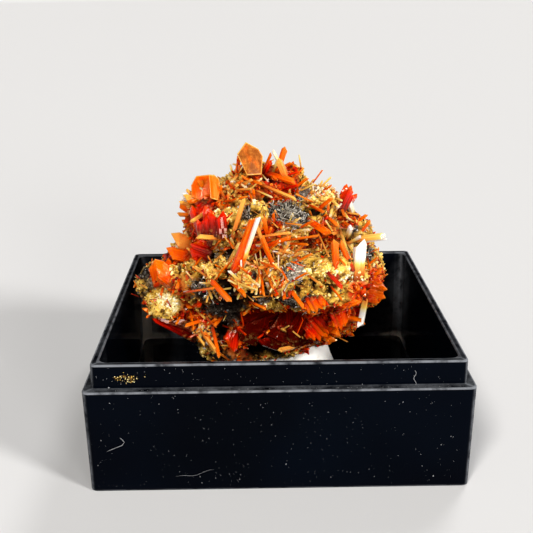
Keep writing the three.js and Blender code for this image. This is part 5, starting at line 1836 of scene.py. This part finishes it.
@dataclass(frozen=True)
class Felt:
    """Many small crystals grown at random from the rock's skin."""

    name: str
    count: int
    shares: Triple  # how likely on limonite, manganese and the red crust
    length: Pair
    width: Pair
    hue: Pair
    cut: Cut = HAIR
    grime: float = 0.0
    rise: Pair = (0.12, 1.0)  # least and most that a crystal points off the skin
    near: tuple[Triple, ...] = ()  # the spots where it grows, or everywhere
    finish: Finish = Crocoite()
    shade_reach: float = SHADE_REACH
    sink: float = 0.12
    skew: Pair = (1.8, 1.5)  # how much oftener the crystals are short, and how much oftener thin

    def build(self, skin: Skin, carrier: Carrier, rng: Random) -> None:
        """Roots a little below the skin, each aim a mean of the way out and a random way along the skin."""
        weights = skin.minerals @ np.array(self.shares) * skin.bare * (0.25 + skin.open_air)
        if self.near:
            weights = weights * sum(carrier.bell(skin.points, spot) for spot in self.near)
        places, ways, _ = skin.scatter(weights, self.count, rng)
        drift = rng.normal(size=places.shape)
        drift = unit(drift - ways * (drift * ways).sum(axis=1, keepdims=True))
        rise = rng.uniform(*self.rise, (self.count, 1))
        aim = drift * np.sqrt(1.0 - rise**2) + ways * rise
        length = self.between(self.length, self.skew[0], rng)
        width = self.between(self.width, self.skew[1], rng)
        prisms = Prisms(
            places - aim * self.sink,
            places + aim * length[:, None],
            width,
            rng.uniform(0.5, 1.0, self.count),
            rng.integers(0, 360, self.count).astype(float),
            np.clip(self.between(self.hue, 1.0, rng), 0.0, 1.0),
            rng.uniform(0.0, self.grime, self.count),
            np.full(self.count, self.shade_reach),
        )
        prisms.shape(self.cut, rng).piece(self.name, self.finish)

    def between(self, ends: Pair, power: float, rng: Random) -> Array:
        """A number for each crystal, the oftener near the least the greater the power."""
        return ends[0] + (ends[1] - ends[0]) * rng.uniform(size=self.count) ** power


JACKSTRAW = (
    (-2.8, 8.1, 1.8), (1.2, 2.5, 1.9), (6.6, 4.6, 1.7), (-0.4, -1.0, 1.5), (4.6, 7.2, 1.4), (-5.6, -1.6, 1.2),
)
FIBROUS = (
    (3.9, 6.8, 1.2), (-2.2, 5.2, 0.9), (2.9, -0.6, 1.6), (1.8, 5.5, 1.6), (3.2, 4.9, 1.2), (9.8, 1.8, 1.5),
    (-6.2, -2.0, 1.6), (4.0, -3.2, 1.2),
)
KNOBBED = (
    (-7.9, 6.8, 0.8), (8.6, 6.9, 0.5), (-8.6, 1.9, 0.6), (-5.5, -7.4, 1.1), (-5.0, 1.6, 0.6), (-6.5, -6.3, 0.8),
)
FELTS = [
    Felt("red_crust", 2400, (0.01, 0.02, 1.0), (0.15, 0.55), (0.2, 0.6), (0.05, 0.45), rise=(0.2, 0.95)),
    Felt("red_blocks", 240, (0.0, 0.03, 1.0), (0.5, 1.3), (0.3, 0.8), (0.08, 0.42), SMALL, 0.3, (0.1, 0.7)),
    Felt("slim_prisms", 320, (0.7, 0.3, 1.0), (0.7, 2.0), (0.12, 0.3), (0.2, 0.7), SMALL, 0.4, (0.03, 0.25)),
    Felt("orange_needles", 900, (0.5, 0.35, 0.8), (0.4, 1.35), (0.1, 0.2), (0.2, 0.65), rise=(0.03, 0.32)),
    Felt("pale_needles", 300, (1.0, 0.5, 0.4), (0.4, 1.3), (0.07, 0.14), (0.6, 1.0), rise=(0.03, 0.35)),
    Felt(
        "glassy_knobs", 260, (1.0, 1.0, 1.0), (0.2, 0.5), (0.18, 0.42), (0.45, 1.0), SMALL,
        rise=(0.4, 1.0), near=KNOBBED, shade_reach=0.05,
    ),
    Felt(
        "jackstraw", 320, (1.0, 0.8, 0.8), (0.8, 2.0), (0.12, 0.26), (0.5, 0.96), SMALL, 0.3,
        (0.02, 0.25), JACKSTRAW,
    ),
    Felt(
        "grey_fibres", 900, (0.06, 1.0, 0.0), (0.2, 0.8), (0.04, 0.09), (0.0, 1.0),
        rise=(0.02, 0.6), near=FIBROUS, finish=GreyFibre(),
    ),
]


# ---------------- studio
@dataclass(frozen=True)
class Lamp:
    """A soft distant light: a disc of that angle, as bright everywhere on the floor."""

    name: str
    bearing: float  # degrees from the front towards the right
    height: float  # degrees
    angle: float  # degrees
    strength: float
    colour: Triple
    distance: float = 0.3  # metres, for the eye alone

    def build(self) -> None:
        """Makes it, shining at the specimen from there."""
        data = bpy.data.lights.new(self.name, "SUN")
        data.angle, data.energy, data.color = math.radians(self.angle), self.strength, self.colour
        b, h = math.radians(self.bearing), math.radians(self.height)
        way = Vector((math.sin(b) * math.cos(h), -math.cos(b) * math.cos(h), math.sin(h)))
        lamp = add(self.name, data)
        lamp.location = way * self.distance
        lamp.rotation_euler = (-way).to_track_quat("-Z", "Y").to_euler()


@dataclass
class Studio:
    """A plain pale floor under soft lights."""

    level: float = 1500.0  # the floor is flat so far from the middle
    reach: float = 10000.0
    lift: float = 800.0  # how high its far edge stands, above the line of sight
    drop: float = 0.02  # how far it lies below the box
    sides: int = 32
    grey: Triple = (0.66, 0.66, 0.67)
    sky: float = 0.09
    lamps: Sequence[Lamp] = (
        Lamp("key", -25.0, 42.0, 12.0, 2.5, (1.0, 0.97, 0.92)),
        Lamp("right", 52.0, 26.0, 12.0, 2.6, (1.0, 0.98, 0.95)),
        Lamp("low", 24.0, 10.0, 16.0, 1.5, (1.0, 0.98, 0.95)),
        Lamp("back", 150.0, 48.0, 15.0, 1.0, (1.0, 0.99, 0.97)),
    )

    def build(self) -> None:
        """The floor, a shallow dish, then the lights and the pale surround."""
        n = self.sides
        ring = np.stack([*circle(n), np.zeros(n)], axis=1)
        points = np.concatenate([ring * self.level, ring * self.reach + [0.0, 0.0, self.lift]])
        rim = [(k + n, (k + 1) % n + n, (k + 1) % n, k) for k in range(n)]
        mesh = bpy.data.meshes.new("floor")
        mesh.from_pydata(((points - [0.0, 0.0, self.drop]) * MM).tolist(), [], [tuple(range(n)), *rim])
        mesh.materials.append(Graph("pale_floor").surface(Base_Color=(*self.grey, 1.0), Roughness=0.85))
        floor = add("floor", mesh)
        for lamp in self.lamps:
            lamp.build()
        world = bpy.data.worlds.new("surround")
        world.use_nodes = True
        background = world.node_tree.nodes["Background"]
        background.inputs["Color"].default_value = (*self.grey, 1.0)
        background.inputs["Strength"].default_value = self.sky
        bpy.context.scene.world = world
        bpy.context.scene.view_settings.view_transform = "Standard"


def main() -> None:
    """Builds the display box, the putty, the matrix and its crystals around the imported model."""
    logging.basicConfig(level=logging.INFO, format="%(name)s: %(message)s")
    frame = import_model()
    nodes = frame["nodes"]
    view = Viewpoint()
    view.camera()
    low, high = (np.array(corner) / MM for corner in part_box("display_box_base"))
    box = DisplayBox(width=high[0] - low[0], rim=high[2])
    box.build()
    BoxMarks(box, view).build()
    Putty(box.floor, view).build(nodes["mounting_putty"])
    carrier = Carrier(nodes["matrix"], view)
    skin = GossanRock(carrier).build(nodes["matrix"])
    Grains(skin).build()
    CrystalGrowth(carrier, skin).build(nodes)
    Studio().build()


if __name__ == "__main__":
    main()
